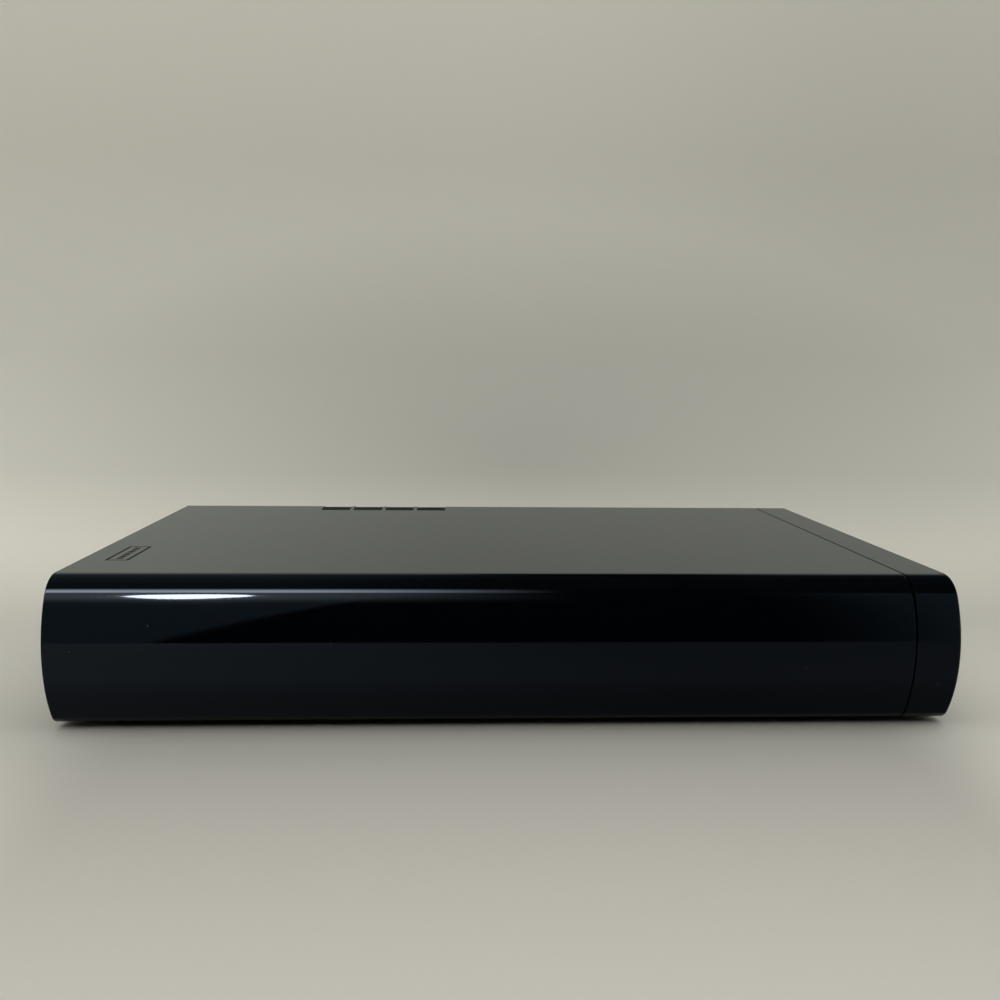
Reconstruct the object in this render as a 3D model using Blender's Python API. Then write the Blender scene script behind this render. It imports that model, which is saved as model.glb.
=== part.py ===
"""A slot-loading disc console, modelled piece by piece in metres, +Z up.

The origin is on the floor under the middle of the case. The front faces -Y, and +X is on the right
of someone who looks at the front. The case is as large as what it holds, so its overall sizes are
sums of the disc, the drive, the boards and the cooling parts.
"""

import math

import bmesh
import bpy
from mathutils import Vector

MM = 0.001

# Fits and working values. PAST is how far a cutter runs past what it cuts, and SINK is how far a
# joined shape reaches into the one that it joins.
GAP = 0.3 * MM
RUNNING = 0.05 * MM
PAST = 2 * MM
SINK = 0.4 * MM
WELD = 0.001 * MM

# Steps in round shapes
ROUND_STEPS = 28
SMALL_STEPS = 16
HALF_STEPS = 8
CORNER_STEPS = 5
SIDE_STEPS = 10
EDGE_STEPS = 3
SMOOTH_DEGREES = 35

# The disc, which sets the size of the drive and so of the case
DISC_RADIUS = 60 * MM
DISC_THICKNESS = 1.2 * MM

# Heights, stacked from the floor up
FOOT_STAND = 1.6 * MM
PAN_THICKNESS = 2 * MM
BOARD_STANDOFF = 5.4 * MM
BOARD_THICKNESS = 1.6 * MM
BOARD_HEADROOM = 4.4 * MM
SHIELD_THICKNESS = 0.8 * MM
DAMPER_SPACE = 4.2 * MM
DRIVE_FLOOR = 1.2 * MM
MECHANISM_HEIGHT = 10 * MM
TUNNEL_HEIGHT = 5 * MM
COVER_CLEARANCE = 1.8 * MM
COVER_THICKNESS = 1.2 * MM
TOP_SPACE = 4.6 * MM
WALL = 2.2 * MM

UNDERSIDE = FOOT_STAND
PAN_TOP = UNDERSIDE + PAN_THICKNESS
BOARD_Z = PAN_TOP + BOARD_STANDOFF
BOARD_TOP = BOARD_Z + BOARD_THICKNESS
SHIELD_Z = BOARD_TOP + BOARD_HEADROOM
SHIELD_TOP = SHIELD_Z + SHIELD_THICKNESS
DRIVE_Z = SHIELD_TOP + DAMPER_SPACE
FLOOR_TOP = DRIVE_Z + DRIVE_FLOOR
TUNNEL_Z = FLOOR_TOP + MECHANISM_HEIGHT
TUNNEL_TOP = TUNNEL_Z + TUNNEL_HEIGHT
DISC_Z = TUNNEL_Z + TUNNEL_HEIGHT / 2
DISC_UNDER = DISC_Z - DISC_THICKNESS / 2
COVER_Z = TUNNEL_TOP + COVER_CLEARANCE
COVER_TOP = COVER_Z + COVER_THICKNESS
CEILING = COVER_TOP + TOP_SPACE
HEIGHT = CEILING + WALL

# Lengths, laid out from the front to the back
DRIVE_SETBACK = 19.25 * MM
DISC_FRONT_SPACE = 9 * MM
DISC_BACK_SPACE = 14 * MM
BLOWER_SPACE = 3 * MM
BLOWER_RADIUS = 26 * MM
BLOWER_REACH = 27 * MM
DUCT_SPACE = 4 * MM
SINK_LENGTH = 34 * MM
REAR_SPACE = 9.05 * MM
PANEL_THICKNESS = 2 * MM
PANEL_RECESS = 1.2 * MM

DRIVE_DEPTH = DISC_FRONT_SPACE + 2 * DISC_RADIUS + DISC_BACK_SPACE
COOLING_DEPTH = BLOWER_SPACE + BLOWER_RADIUS + BLOWER_REACH + DUCT_SPACE + SINK_LENGTH
REAR_DEPTH = REAR_SPACE + PANEL_THICKNESS + PANEL_RECESS
DEPTH = DRIVE_SETBACK + DRIVE_DEPTH + COOLING_DEPTH + REAR_DEPTH
FRONT_Y = -DEPTH / 2
BACK_Y = DEPTH / 2
DRIVE_FRONT = FRONT_Y + DRIVE_SETBACK
SPINDLE_Y = DRIVE_FRONT + DISC_FRONT_SPACE + DISC_RADIUS
DRIVE_BACK = DRIVE_FRONT + DRIVE_DEPTH
BLOWER_Y = DRIVE_BACK + BLOWER_SPACE + BLOWER_RADIUS
BLOWER_END = BLOWER_Y + BLOWER_REACH
SINK_FRONT = BLOWER_END + DUCT_SPACE
SINK_BACK = SINK_FRONT + SINK_LENGTH
PANEL_FACE = BACK_Y - PANEL_RECESS
PANEL_BACK = PANEL_FACE - PANEL_THICKNESS

# Widths, from the middle to the sides
DISC_SIDE_SPACE = 4.6 * MM
CHASSIS_WALL = 1.4 * MM
SIDE_BAY = 20 * MM

TUNNEL_HALF = DISC_RADIUS + DISC_SIDE_SPACE
DRIVE_HALF = TUNNEL_HALF + CHASSIS_WALL
HALF_WIDTH = DRIVE_HALF + SIDE_BAY

# The case's section: a flat top and underside joined by a bulged side with tighter corners
SIDE_RADIUS = 38 * MM
TOP_CORNER_RADIUS = 10 * MM
BOTTOM_CORNER_RADIUS = 5.5 * MM

SIDE_X = HALF_WIDTH - SIDE_RADIUS
SIDE_Z = (UNDERSIDE + HEIGHT) / 2
TOP_CORNER_Z = HEIGHT - TOP_CORNER_RADIUS
TOP_CORNER_X = SIDE_X + math.sqrt((SIDE_RADIUS - TOP_CORNER_RADIUS) ** 2 - (TOP_CORNER_Z - SIDE_Z) ** 2)
BOTTOM_CORNER_Z = UNDERSIDE + BOTTOM_CORNER_RADIUS
BOTTOM_CORNER_X = SIDE_X + math.sqrt(
    (SIDE_RADIUS - BOTTOM_CORNER_RADIUS) ** 2 - (SIDE_Z - BOTTOM_CORNER_Z) ** 2
)
TOP_DEGREES = math.degrees(math.atan2(TOP_CORNER_Z - SIDE_Z, TOP_CORNER_X - SIDE_X))
BOTTOM_DEGREES = math.degrees(math.atan2(BOTTOM_CORNER_Z - SIDE_Z, BOTTOM_CORNER_X - SIDE_X))

# Finishes: linear colour, roughness, metallic
FINISHES = {
    "gloss_black": ((0.006, 0.008, 0.011), 0.06, 0),
    "matte_black": ((0.012, 0.012, 0.013), 0.55, 0),
    "rubber": ((0.015, 0.015, 0.015), 0.85, 0),
    "felt": ((0.01, 0.01, 0.01), 0.95, 0),
    "clear": ((0.75, 0.85, 0.9), 0.1, 0),
    "red": ((0.45, 0.02, 0.02), 0.4, 0),
    "board_green": ((0.01, 0.1, 0.04), 0.45, 0),
    "sheet_steel": ((0.55, 0.55, 0.54), 0.35, 1),
    "bright_steel": ((0.7, 0.7, 0.7), 0.15, 1),
    "aluminium": ((0.75, 0.76, 0.77), 0.3, 1),
    "brass": ((0.7, 0.5, 0.2), 0.25, 1),
    "white_plastic": ((0.75, 0.75, 0.72), 0.45, 0),
}


def clear_scene():
    for thing in list(bpy.data.objects):
        bpy.data.objects.remove(thing)


def object_from(name, shape, origin):
    """An object that holds a shape drawn in world coordinates, with its origin at a given point."""
    bmesh.ops.translate(shape, vec=-Vector(origin), verts=shape.verts)
    mesh = bpy.data.meshes.new(name)
    shape.to_mesh(mesh)
    shape.free()
    thing = bpy.data.objects.new(name, mesh)
    thing.location = origin
    bpy.context.collection.objects.link(thing)
    return thing


def piece(name, shape, finish, origin=(0, 0, 0)):
    """A named piece with its own material and smooth shading on its round faces."""
    thing = object_from(name, shape, origin)
    thing.data.shade_smooth()
    thing.data.set_sharp_from_angle(angle=math.radians(SMOOTH_DEGREES))
    colour, roughness, metallic = FINISHES[finish]
    material = bpy.data.materials.new(name + "_" + finish)
    material.use_nodes = True
    shader = material.node_tree.nodes["Principled BSDF"]
    shader.inputs["Base Color"].default_value = (*colour, 1)
    shader.inputs["Roughness"].default_value = roughness
    shader.inputs["Metallic"].default_value = metallic
    thing.data.materials.append(material)
    return thing


def combine(target, shape, operation):
    """Cut a shape from a piece, or join it to the piece, with a Boolean that stays on it."""
    helper = object_from(target.name + "_" + operation.lower(), shape, (0, 0, 0))
    helper.hide_render = True
    helper.display_type = "WIRE"
    step = target.modifiers.new(operation.title(), "BOOLEAN")
    step.operation = operation
    step.solver = "EXACT"
    step.object = helper


def cut(target, *shapes):
    for shape in shapes:
        combine(target, shape, "DIFFERENCE")


def join(target, *shapes):
    for shape in shapes:
        combine(target, shape, "UNION")


def together(shapes):
    """One shape that holds several that don't touch."""
    whole = bmesh.new()
    for shape in shapes:
        mesh = bpy.data.meshes.new("copy")
        shape.to_mesh(mesh)
        shape.free()
        whole.from_mesh(mesh)
        bpy.data.meshes.remove(mesh)
    return whole


def box(low, high):
    shape = bmesh.new()
    bmesh.ops.create_cube(shape, size=1)
    bmesh.ops.scale(shape, vec=Vector(high) - Vector(low), verts=shape.verts)
    bmesh.ops.translate(shape, vec=(Vector(low) + Vector(high)) / 2, verts=shape.verts)
    return shape


def face_outwards(shape):
    bmesh.ops.recalc_face_normals(shape, faces=shape.faces)
    if shape.calc_volume(signed=True) < 0:
        bmesh.ops.reverse_faces(shape, faces=shape.faces)


def lofted(rings):
    """A solid through rings of points, closed at its two ends."""
    shape = bmesh.new()
    loops = [[shape.verts.new(point) for point in ring] for ring in rings]
    for near, far in zip(loops, loops[1:]):
        for i in range(len(near)):
            shape.faces.new((near[i - 1], near[i], far[i], far[i - 1]))
    shape.faces.new(loops[0])
    shape.faces.new(loops[-1])
    face_outwards(shape)
    return shape


def prism(outline, axis, start, end):
    """An outline drawn across an axis (0, 1 or 2 for X, Y or Z), extruded along it."""

    def ring(along):
        points = [list(pair) for pair in outline]
        for point in points:
            point.insert(axis, along)
        return points

    return lofted([ring(start), ring(end)])


def turned(profile, axis, centre, steps=ROUND_STEPS):
    """A profile of (radius, place along the axis) turned round an axis through a centre.

    The centre has the two coordinates across the axis. A profile that starts off the axis is
    closed into a ring.
    """
    shape = bmesh.new()
    points = [shape.verts.new((radius, 0, along)) for radius, along in profile]
    edges = [shape.edges.new(pair) for pair in zip(points, points[1:])]
    if profile[0][0] > 0:
        edges.append(shape.edges.new((points[-1], points[0])))
    bmesh.ops.spin(
        shape,
        geom=points + edges,
        cent=(0, 0, 0),
        axis=(0, 0, 1),
        angle=2 * math.pi,
        steps=steps,
        use_merge=True,
    )
    bmesh.ops.remove_doubles(shape, verts=shape.verts, dist=WELD)
    place = list(centre)
    place.insert(axis, 0)
    for vert in shape.verts:
        x, y, z = vert.co
        vert.co = Vector(((z, x, y), (y, z, x), (x, y, z))[axis]) + Vector(place)
    face_outwards(shape)
    return shape


def rod(axis, centre, radius, start, end, steps=SMALL_STEPS):
    return turned([(0, start), (radius, start), (radius, end), (0, end)], axis, centre, steps)


def arc(centre, radius, start, end, steps):
    """Points along an arc, both ends included, between two angles in degrees."""
    points = []
    for i in range(steps + 1):
        angle = math.radians(start + (end - start) * i / steps)
        points.append((centre[0] + radius * math.cos(angle), centre[1] + radius * math.sin(angle)))
    return points


def capsule(first, first_radius, second, second_radius, steps=HALF_STEPS):
    """The outline round two circles, with straight tangents between them."""
    run = Vector(second) - Vector(first)
    heading = math.degrees(math.atan2(run.y, run.x))
    lean = math.degrees(math.acos((first_radius - second_radius) / run.length))
    near = arc(first, first_radius, heading + lean, heading + 360 - lean, steps)
    far = arc(second, second_radius, heading - lean, heading + lean, steps)
    return near + far


def mirrored(points):
    """The same points on the other side of the middle, in the opposite order."""
    return [(-x, z) for x, z in reversed(points)]


def case_side(inset):
    """The right half of the case's section, from the top to the underside, inset from outside."""
    top = (TOP_CORNER_X, TOP_CORNER_Z)
    side = (SIDE_X, SIDE_Z)
    bottom = (BOTTOM_CORNER_X, BOTTOM_CORNER_Z)
    points = arc(top, TOP_CORNER_RADIUS - inset, 90, TOP_DEGREES, CORNER_STEPS)
    points += arc(side, SIDE_RADIUS - inset, TOP_DEGREES, BOTTOM_DEGREES, SIDE_STEPS)[1:]
    points += arc(bottom, BOTTOM_CORNER_RADIUS - inset, BOTTOM_DEGREES, -90, CORNER_STEPS)[1:]
    return points


def case_section(inset):
    return mirrored(case_side(inset)) + case_side(inset)


# The case sleeve. Its underside turns in as two lips that the base pan fits between, and a column at
# each corner takes a screw from below.
BEZEL_DEPTH = 13.8 * MM
BEZEL_BACK = FRONT_Y + BEZEL_DEPTH
SLEEVE_FRONT = BEZEL_BACK + GAP
LIP_REACH = 8 * MM
LIP_X = BOTTOM_CORNER_X - LIP_REACH
LIP_TOP = UNDERSIDE + WALL
FLANGE_THICKNESS = 1.2 * MM
FLANGE_Z = LIP_TOP + GAP
FLANGE_TOP = FLANGE_Z + FLANGE_THICKNESS
BOSS_RADIUS = 2.8 * MM
BOSS_INSET = 1.9 * MM
BOSS_X = BOTTOM_CORNER_X - BOSS_INSET
BOSS_Z = FLANGE_TOP + GAP
BOSS_END_SPACE = 15 * MM
BOSS_PLACES = [
    (side * BOSS_X, y)
    for y in (SLEEVE_FRONT + BOSS_END_SPACE, PANEL_BACK - BOSS_END_SPACE / 2)
    for side in (-1, 1)
]
SCREW_RADIUS = 1.25 * MM
SCREW_LENGTH = 11 * MM
SCREW_HEAD_RADIUS = 2.6 * MM
SCREW_HEAD_HEIGHT = 1 * MM
SCREW_RECESS = 0.3 * MM
SCREW_CLEARANCE = 0.3 * MM
SCREW_HEAD_Z = UNDERSIDE + SCREW_RECESS
SCREW_HEAD_TOP = SCREW_HEAD_Z + SCREW_HEAD_HEIGHT
SCREW_END = SCREW_HEAD_TOP + SCREW_LENGTH
DRIVER_SLOT_WIDTH = 0.8 * MM
DRIVER_SLOT_DEPTH = 0.5 * MM
DRIVER_SLOT_REACH = 1.7 * MM

# Four vents over the right upper edge, beside the blower
VENT_COUNT = 4
VENT_LENGTH = 12.3 * MM
VENT_RIB = 1.45 * MM
VENT_LEAD = 7.5 * MM
VENT_EDGE_SPACE = 1.2 * MM
VENT_TOP_X = TOP_CORNER_X - VENT_EDGE_SPACE
VENT_DROP = 16 * MM
VENT_FRONT = DRIVE_BACK - VENT_LEAD
VENT_PITCH = VENT_LENGTH + VENT_RIB
VENT_BACK = VENT_FRONT + VENT_COUNT * VENT_PITCH - VENT_RIB
VENT_LOW_Z = HEIGHT - VENT_DROP


def make_top_case():
    inner = case_section(WALL)
    outline = [(-LIP_X, UNDERSIDE), *case_section(0), (LIP_X, UNDERSIDE), (LIP_X, LIP_TOP)]
    outline += [*reversed(inner), (-LIP_X, LIP_TOP)]
    case = piece("top_case", prism(outline, 1, SLEEVE_FRONT, BACK_Y), "gloss_black")
    vents = []
    for i in range(VENT_COUNT):
        front = VENT_FRONT + i * VENT_PITCH
        low = (VENT_TOP_X, front, VENT_LOW_Z)
        vents.append(box(low, (HALF_WIDTH + PAST, front + VENT_LENGTH, HEIGHT + PAST)))
    cut(case, together(vents))
    join(case, together(rod(2, place, BOSS_RADIUS, BOSS_Z, CEILING + SINK) for place in BOSS_PLACES))
    bore = SCREW_RADIUS + RUNNING
    cut(case, together(rod(2, place, bore, BOSS_Z - SINK, SCREW_END + GAP) for place in BOSS_PLACES))
    shank = SCREW_RADIUS + SCREW_CLEARANCE
    head = SCREW_HEAD_RADIUS + SCREW_CLEARANCE
    for place in BOSS_PLACES:
        shoulder = SCREW_HEAD_TOP + GAP
        profile = [(0, UNDERSIDE - PAST), (head, UNDERSIDE - PAST), (head, shoulder)]
        profile += [(shank, shoulder), (shank, LIP_TOP + GAP / 2), (0, LIP_TOP + GAP / 2)]
        cut(case, turned(profile, 2, place, SMALL_STEPS))


def make_case_screws():
    for number, (x, y) in enumerate(BOSS_PLACES, start=1):
        profile = [(0, SCREW_HEAD_Z), (SCREW_HEAD_RADIUS, SCREW_HEAD_Z)]
        profile += [(SCREW_HEAD_RADIUS, SCREW_HEAD_TOP), (SCREW_RADIUS, SCREW_HEAD_TOP)]
        profile += [(SCREW_RADIUS, SCREW_END), (0, SCREW_END)]
        screw = piece(f"case_screw_{number}", turned(profile, 2, (x, y), SMALL_STEPS), "sheet_steel")
        half = DRIVER_SLOT_WIDTH / 2
        low = SCREW_HEAD_Z - PAST
        high = SCREW_HEAD_Z + DRIVER_SLOT_DEPTH
        for across, along in ((half, DRIVER_SLOT_REACH), (DRIVER_SLOT_REACH, half)):
            cut(screw, box((x - across, y - along, low), (x + across, y + along, high)))


# The inner grille follows the inside of the case behind the vents.
GRILLE_THICKNESS = 0.8 * MM
GRILLE_BORDER = 2.5 * MM
GRILLE_SLOT = 1.4 * MM
GRILLE_PITCH = 3.6 * MM
GRILLE_INSET = WALL + GAP


def grille_band(inset):
    """The section of the grille along the case's corner, at one inset."""
    radius = SIDE_RADIUS - inset
    low = math.degrees(math.asin((VENT_LOW_Z - GRILLE_BORDER - SIDE_Z) / radius))
    points = [(VENT_TOP_X - GRILLE_BORDER, HEIGHT - inset)]
    top = (TOP_CORNER_X, TOP_CORNER_Z)
    points += arc(top, TOP_CORNER_RADIUS - inset, 90, TOP_DEGREES, CORNER_STEPS)
    points += arc((SIDE_X, SIDE_Z), radius, TOP_DEGREES, low, CORNER_STEPS)[1:]
    return points


def make_side_grille():
    outline = grille_band(GRILLE_INSET) + grille_band(GRILLE_INSET + GRILLE_THICKNESS)[::-1]
    front = VENT_FRONT - GRILLE_BORDER
    back = VENT_BACK + GRILLE_BORDER
    grille = piece("side_vent_grille", prism(outline, 1, front, back), "matte_black")
    count = int((back - front - 2 * GRILLE_BORDER) / GRILLE_PITCH) + 1
    first = (front + back - (count - 1) * GRILLE_PITCH - GRILLE_SLOT) / 2
    slots = []
    for i in range(count):
        y = first + i * GRILLE_PITCH
        high = (HALF_WIDTH + PAST, y + GRILLE_SLOT, HEIGHT + PAST)
        slots.append(box((VENT_TOP_X, y, VENT_LOW_Z), high))
    cut(grille, together(slots))


# The base pan closes the sleeve from below: a plate between the lips with a flange over each lip,
# held by the case screws, and an upstand under the rear panel.
PAN_EDGE = LIP_X - GAP
RISER_THICKNESS = 2.2 * MM
RISER_X = PAN_EDGE - RISER_THICKNESS
FLANGE_REACH = 0.5 * MM
FLANGE_X = BOTTOM_CORNER_X + FLANGE_REACH
POST_RADIUS = 3 * MM
POST_SIDE_SPACE = 6 * MM
POST_END_SPACE = 10 * MM
FOOT_RADIUS = 6.5 * MM
FOOT_POCKET = 0.6 * MM
FOOT_SIDE_SPACE = 9 * MM
FOOT_END_SPACE = 13 * MM
FOOT_X = PAN_EDGE - FOOT_SIDE_SPACE
FOOT_PLACES = [
    (side * FOOT_X, y)
    for y in (SLEEVE_FRONT + FOOT_END_SPACE, PANEL_BACK - FOOT_END_SPACE)
    for side in (-1, 1)
]
CELL_RADIUS = 10 * MM
CELL_THICKNESS = 3.2 * MM
CELL_COVER_MARGIN = 2 * MM
CELL_COVER_THICKNESS = 1.7 * MM
CELL_X = -30 * MM
CELL_COVER_RADIUS = CELL_RADIUS + CELL_COVER_MARGIN
CELL_PLACE = (CELL_X, BLOWER_Y)
COIN_SLOT_LENGTH = 12 * MM
COIN_SLOT_WIDTH = 1.8 * MM
COIN_SLOT_DEPTH = 0.7 * MM
BASE_VENT_COUNT = 9
BASE_VENT_WIDTH = 2 * MM
BASE_VENT_PITCH = 5 * MM
BASE_VENT_LENGTH = 30 * MM

# The main board and the metal shield over it, which stands on the pan
SHIELD_HALF = RISER_X - GAP
BOARD_SIDE_SPACE = 2.4 * MM
BOARD_HALF = SHIELD_HALF - SHIELD_THICKNESS - BOARD_SIDE_SPACE
BOARD_FRONT_SPACE = 5 * MM
BOARD_FRONT = DRIVE_FRONT + BOARD_FRONT_SPACE
POST_PLACES = [
    (side * (BOARD_HALF - POST_SIDE_SPACE), y)
    for y in (BOARD_FRONT + POST_END_SPACE, SINK_BACK - POST_END_SPACE)
    for side in (-1, 1)
]

# The data ports at the front and at the rear
USB_WIDTH = 13.1 * MM
USB_HEIGHT = 5.7 * MM
USB_SHELL = 0.5 * MM
USB_TONGUE_THICKNESS = 1.8 * MM
USB_TONGUE_SPACE = 0.8 * MM

# The rear ports stand side by side on the main board's back edge, from the left. The heat sink
# fills the width that they leave.
PORT_SPACING = 1.4 * MM
PORT_START_SPACE = 0.4 * MM
PORT_SEAT = 11 * MM
PORT_RECESS = 0.2 * MM
INLET_WIDTH = 12 * MM
INLET_HEIGHT = 9.4 * MM
INLET_WALL = 2 * MM
INLET_BLADE_WIDTH = 1.2 * MM
INLET_BLADE_SPACE = 1.6 * MM
VIDEO_WIDTH = 14.8 * MM
VIDEO_HEIGHT = 5.6 * MM
VIDEO_WALL = 0.6 * MM
VIDEO_TONGUE_HEIGHT = 1.4 * MM
VIDEO_TONGUE_SPACE = 1.6 * MM
AV_WIDTH = 12.5 * MM
AV_HEIGHT = 6.4 * MM
AV_WALL = 1 * MM
AV_TONGUE_HEIGHT = 1.8 * MM
AV_TONGUE_SPACE = 1.4 * MM
SENSOR_WIDTH = 8 * MM
SENSOR_HEIGHT = 7 * MM
SENSOR_WALL = 1.2 * MM
SENSOR_TONGUE_HEIGHT = 2 * MM
SENSOR_TONGUE_SPACE = 1 * MM
USB_STACK_SPACE = 4 * MM
PORT_DEPTH = 9 * MM
PORT_MOUTH = PANEL_FACE - PORT_RECESS
PORT_START = SINK_BACK - PORT_SEAT
PORT_Z = BOARD_TOP + GAP
USB_STACK_HEIGHT = 2 * USB_HEIGHT + USB_STACK_SPACE

# Name, width, height, wall round the mouth, tongue height and the space beside the tongue
REAR_PORTS = (
    ("dc_inlet", INLET_WIDTH, INLET_HEIGHT, INLET_WALL, INLET_BLADE_WIDTH, INLET_BLADE_SPACE),
    ("video_port", VIDEO_WIDTH, VIDEO_HEIGHT, VIDEO_WALL, VIDEO_TONGUE_HEIGHT, VIDEO_TONGUE_SPACE),
    ("av_port", AV_WIDTH, AV_HEIGHT, AV_WALL, AV_TONGUE_HEIGHT, AV_TONGUE_SPACE),
    ("usb_port_rear", USB_WIDTH, USB_STACK_HEIGHT, USB_SHELL, USB_TONGUE_THICKNESS, USB_TONGUE_SPACE),
    ("sensor_port", SENSOR_WIDTH, SENSOR_HEIGHT, SENSOR_WALL, SENSOR_TONGUE_HEIGHT, SENSOR_TONGUE_SPACE),
)
PORT_ROW = sum(port[1] for port in REAR_PORTS) + (len(REAR_PORTS) - 1) * PORT_SPACING

# The blower and the heat sink share a centre line on the right of the rear bay. The processor lies
# under the heat sink.
PORT_SINK_SPACE = 3.48 * MM
COOLING_SIDE_SPACE = 18 * MM
SINK_HEIGHT = 25 * MM
CHIP_HEIGHT = 2 * MM
SINK_LEFT = PORT_START_SPACE - BOARD_HALF + PORT_ROW + PORT_SINK_SPACE
SINK_RIGHT = HALF_WIDTH - COOLING_SIDE_SPACE
SINK_HALF = (SINK_RIGHT - SINK_LEFT) / 2
COOLING_X = (SINK_LEFT + SINK_RIGHT) / 2
CHIP_Z = BOARD_TOP + GAP
CHIP_TOP = CHIP_Z + CHIP_HEIGHT
SINK_Z = CHIP_TOP + GAP
SINK_TOP = SINK_Z + SINK_HEIGHT


def make_base_pan():
    right = [(PAN_EDGE, UNDERSIDE), (PAN_EDGE, FLANGE_Z), (FLANGE_X, FLANGE_Z)]
    right += [(FLANGE_X, FLANGE_TOP), (RISER_X, FLANGE_TOP), (RISER_X, PAN_TOP)]
    pan = piece("base_pan", prism(right + mirrored(right), 1, SLEEVE_FRONT, PANEL_FACE), "matte_black")
    low = (-RISER_X - SINK, PANEL_BACK, PAN_TOP - SINK)
    join(pan, box(low, (RISER_X + SINK, PANEL_FACE, FLANGE_TOP)))
    join(pan, together(rod(2, place, POST_RADIUS, PAN_TOP - SINK, BOARD_Z - GAP) for place in POST_PLACES))
    pocket = FOOT_RADIUS + GAP
    top = UNDERSIDE + FOOT_POCKET
    cut(pan, together(rod(2, place, pocket, UNDERSIDE - PAST, top) for place in FOOT_PLACES))
    shank = SCREW_RADIUS + SCREW_CLEARANCE
    cut(pan, together(rod(2, place, shank, FLANGE_Z - PAST, BOSS_Z + PAST) for place in BOSS_PLACES))
    cut(pan, rod(2, CELL_PLACE, CELL_COVER_RADIUS + GAP, UNDERSIDE - PAST, PAN_TOP + PAST, ROUND_STEPS))
    vents = []
    for i in range(BASE_VENT_COUNT):
        x = COOLING_X + (i - (BASE_VENT_COUNT - 1) / 2) * BASE_VENT_PITCH - BASE_VENT_WIDTH / 2
        y = BLOWER_Y - BASE_VENT_LENGTH / 2
        high = (x + BASE_VENT_WIDTH, y + BASE_VENT_LENGTH, PAN_TOP + PAST)
        vents.append(box((x, y, UNDERSIDE - PAST), high))
    cut(pan, together(vents))


def make_feet():
    for number, place in enumerate(FOOT_PLACES, start=1):
        top = UNDERSIDE + FOOT_POCKET - GAP
        piece(f"foot_{number}", rod(2, place, FOOT_RADIUS, 0, top), "rubber")


def make_battery():
    x, y = CELL_PLACE
    cover_top = UNDERSIDE + CELL_COVER_THICKNESS
    shape = rod(2, CELL_PLACE, CELL_COVER_RADIUS, UNDERSIDE, cover_top, ROUND_STEPS)
    cover = piece("battery_cover", shape, "matte_black")
    low = (x - COIN_SLOT_LENGTH / 2, y - COIN_SLOT_WIDTH / 2, UNDERSIDE - PAST)
    high = (x + COIN_SLOT_LENGTH / 2, y + COIN_SLOT_WIDTH / 2, UNDERSIDE + COIN_SLOT_DEPTH)
    cut(cover, box(low, high))
    cell_z = cover_top + GAP
    piece("battery_cell", rod(2, CELL_PLACE, CELL_RADIUS, cell_z, cell_z + CELL_THICKNESS), "bright_steel")


# Places on the front. The disc slot is level with the disc. The buttons stand beside the drive.
SLOT_SIDE_SPACE = 2.3 * MM
SLOT_HALF = DISC_RADIUS + SLOT_SIDE_SPACE
SLOT_HEIGHT = TUNNEL_HEIGHT
BUTTON_SIDE_SPACE = 7 * MM
BUTTON_X = DRIVE_HALF + BUTTON_SIDE_SPACE
BUTTON_RADIUS = 4.5 * MM
BUTTON_EDGE = 0.4 * MM
BUTTON_RECESS = 0.3 * MM
BUTTON_FLANGE = 1.5 * MM
BUTTON_FLANGE_THICKNESS = 0.8 * MM
BUTTON_TRAVEL = 1 * MM
STEM_RADIUS = 1.6 * MM
WALL_BACK = FRONT_Y + WALL

# The front board behind the bezel carries three push switches.
FRONT_BOARD_SPACE = 1.45 * MM
FRONT_BOARD_BACK = DRIVE_FRONT - FRONT_BOARD_SPACE
FRONT_BOARD_Y = FRONT_BOARD_BACK - BOARD_THICKNESS
SWITCH_HALF = 3 * MM
SWITCH_DEPTH = 3.5 * MM
PLUNGER_RADIUS = 1.7 * MM
PLUNGER_DEPTH = 0.7 * MM
PLUNGER_Y = FRONT_BOARD_Y - SWITCH_DEPTH - PLUNGER_DEPTH
STEM_END = PLUNGER_Y - BUTTON_TRAVEL - GAP

# The flap over the front ports is hinged on two pins at its lower edge.
FLAP_HALF = 44.7 * MM
FLAP_LIFT = 6.75 * MM
FLAP_Z = UNDERSIDE + FLAP_LIFT
FLAP_HEIGHT = 14 * MM
FLAP_PIN_RADIUS = 0.65 * MM
FLAP_PIN_LENGTH = 1.4 * MM
NOTCH_HALF = 8 * MM
NOTCH_HEIGHT = 2 * MM
NOTCH_DEPTH = 1.2 * MM
HINGE_Y = FRONT_Y + WALL / 2
HINGE_Z = FLAP_Z + GAP + WALL / 2
FLAP_TOP = FLAP_Z + GAP + FLAP_HEIGHT
OPENING_HALF = FLAP_HALF + GAP
OPENING_TOP = FLAP_TOP + GAP

# The power light stands under the power button.
LIGHT_DROP = 10.5 * MM
LIGHT_HALF_WIDTH = 1.3 * MM
LIGHT_HALF_HEIGHT = 0.6 * MM
LIGHT_FLANGE = 0.8 * MM
LIGHT_RECESS = 0.2 * MM
LIGHT_Z = DISC_Z - LIGHT_DROP

# The bezel's tabs slide into the sleeve, over and under what it holds.
TAB_THICKNESS = 1.4 * MM
TAB_LENGTH = 8 * MM
TAB_ROOT = 4 * MM
TAB_INNER_X = 20 * MM
TAB_OUTER_X = 44 * MM
TAB_LOW_TOP = PAN_TOP + GAP + TAB_THICKNESS
EDGE_ROUND = 1.2 * MM


def tab_outline(seat, wall, inward):
    """The side view of a tab whose outer face lies at seat and whose root reaches into a wall.

    Its inner face lies above the seat where inward is 1, and below it where inward is -1.
    """
    face = seat + inward * TAB_THICKNESS
    end = BEZEL_BACK - SINK
    root = wall - inward * SINK
    start = BEZEL_BACK - TAB_ROOT
    tip = BEZEL_BACK + TAB_LENGTH
    return [(start, face), (tip, face), (tip, seat), (end, seat), (end, root), (start, root)]


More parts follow.
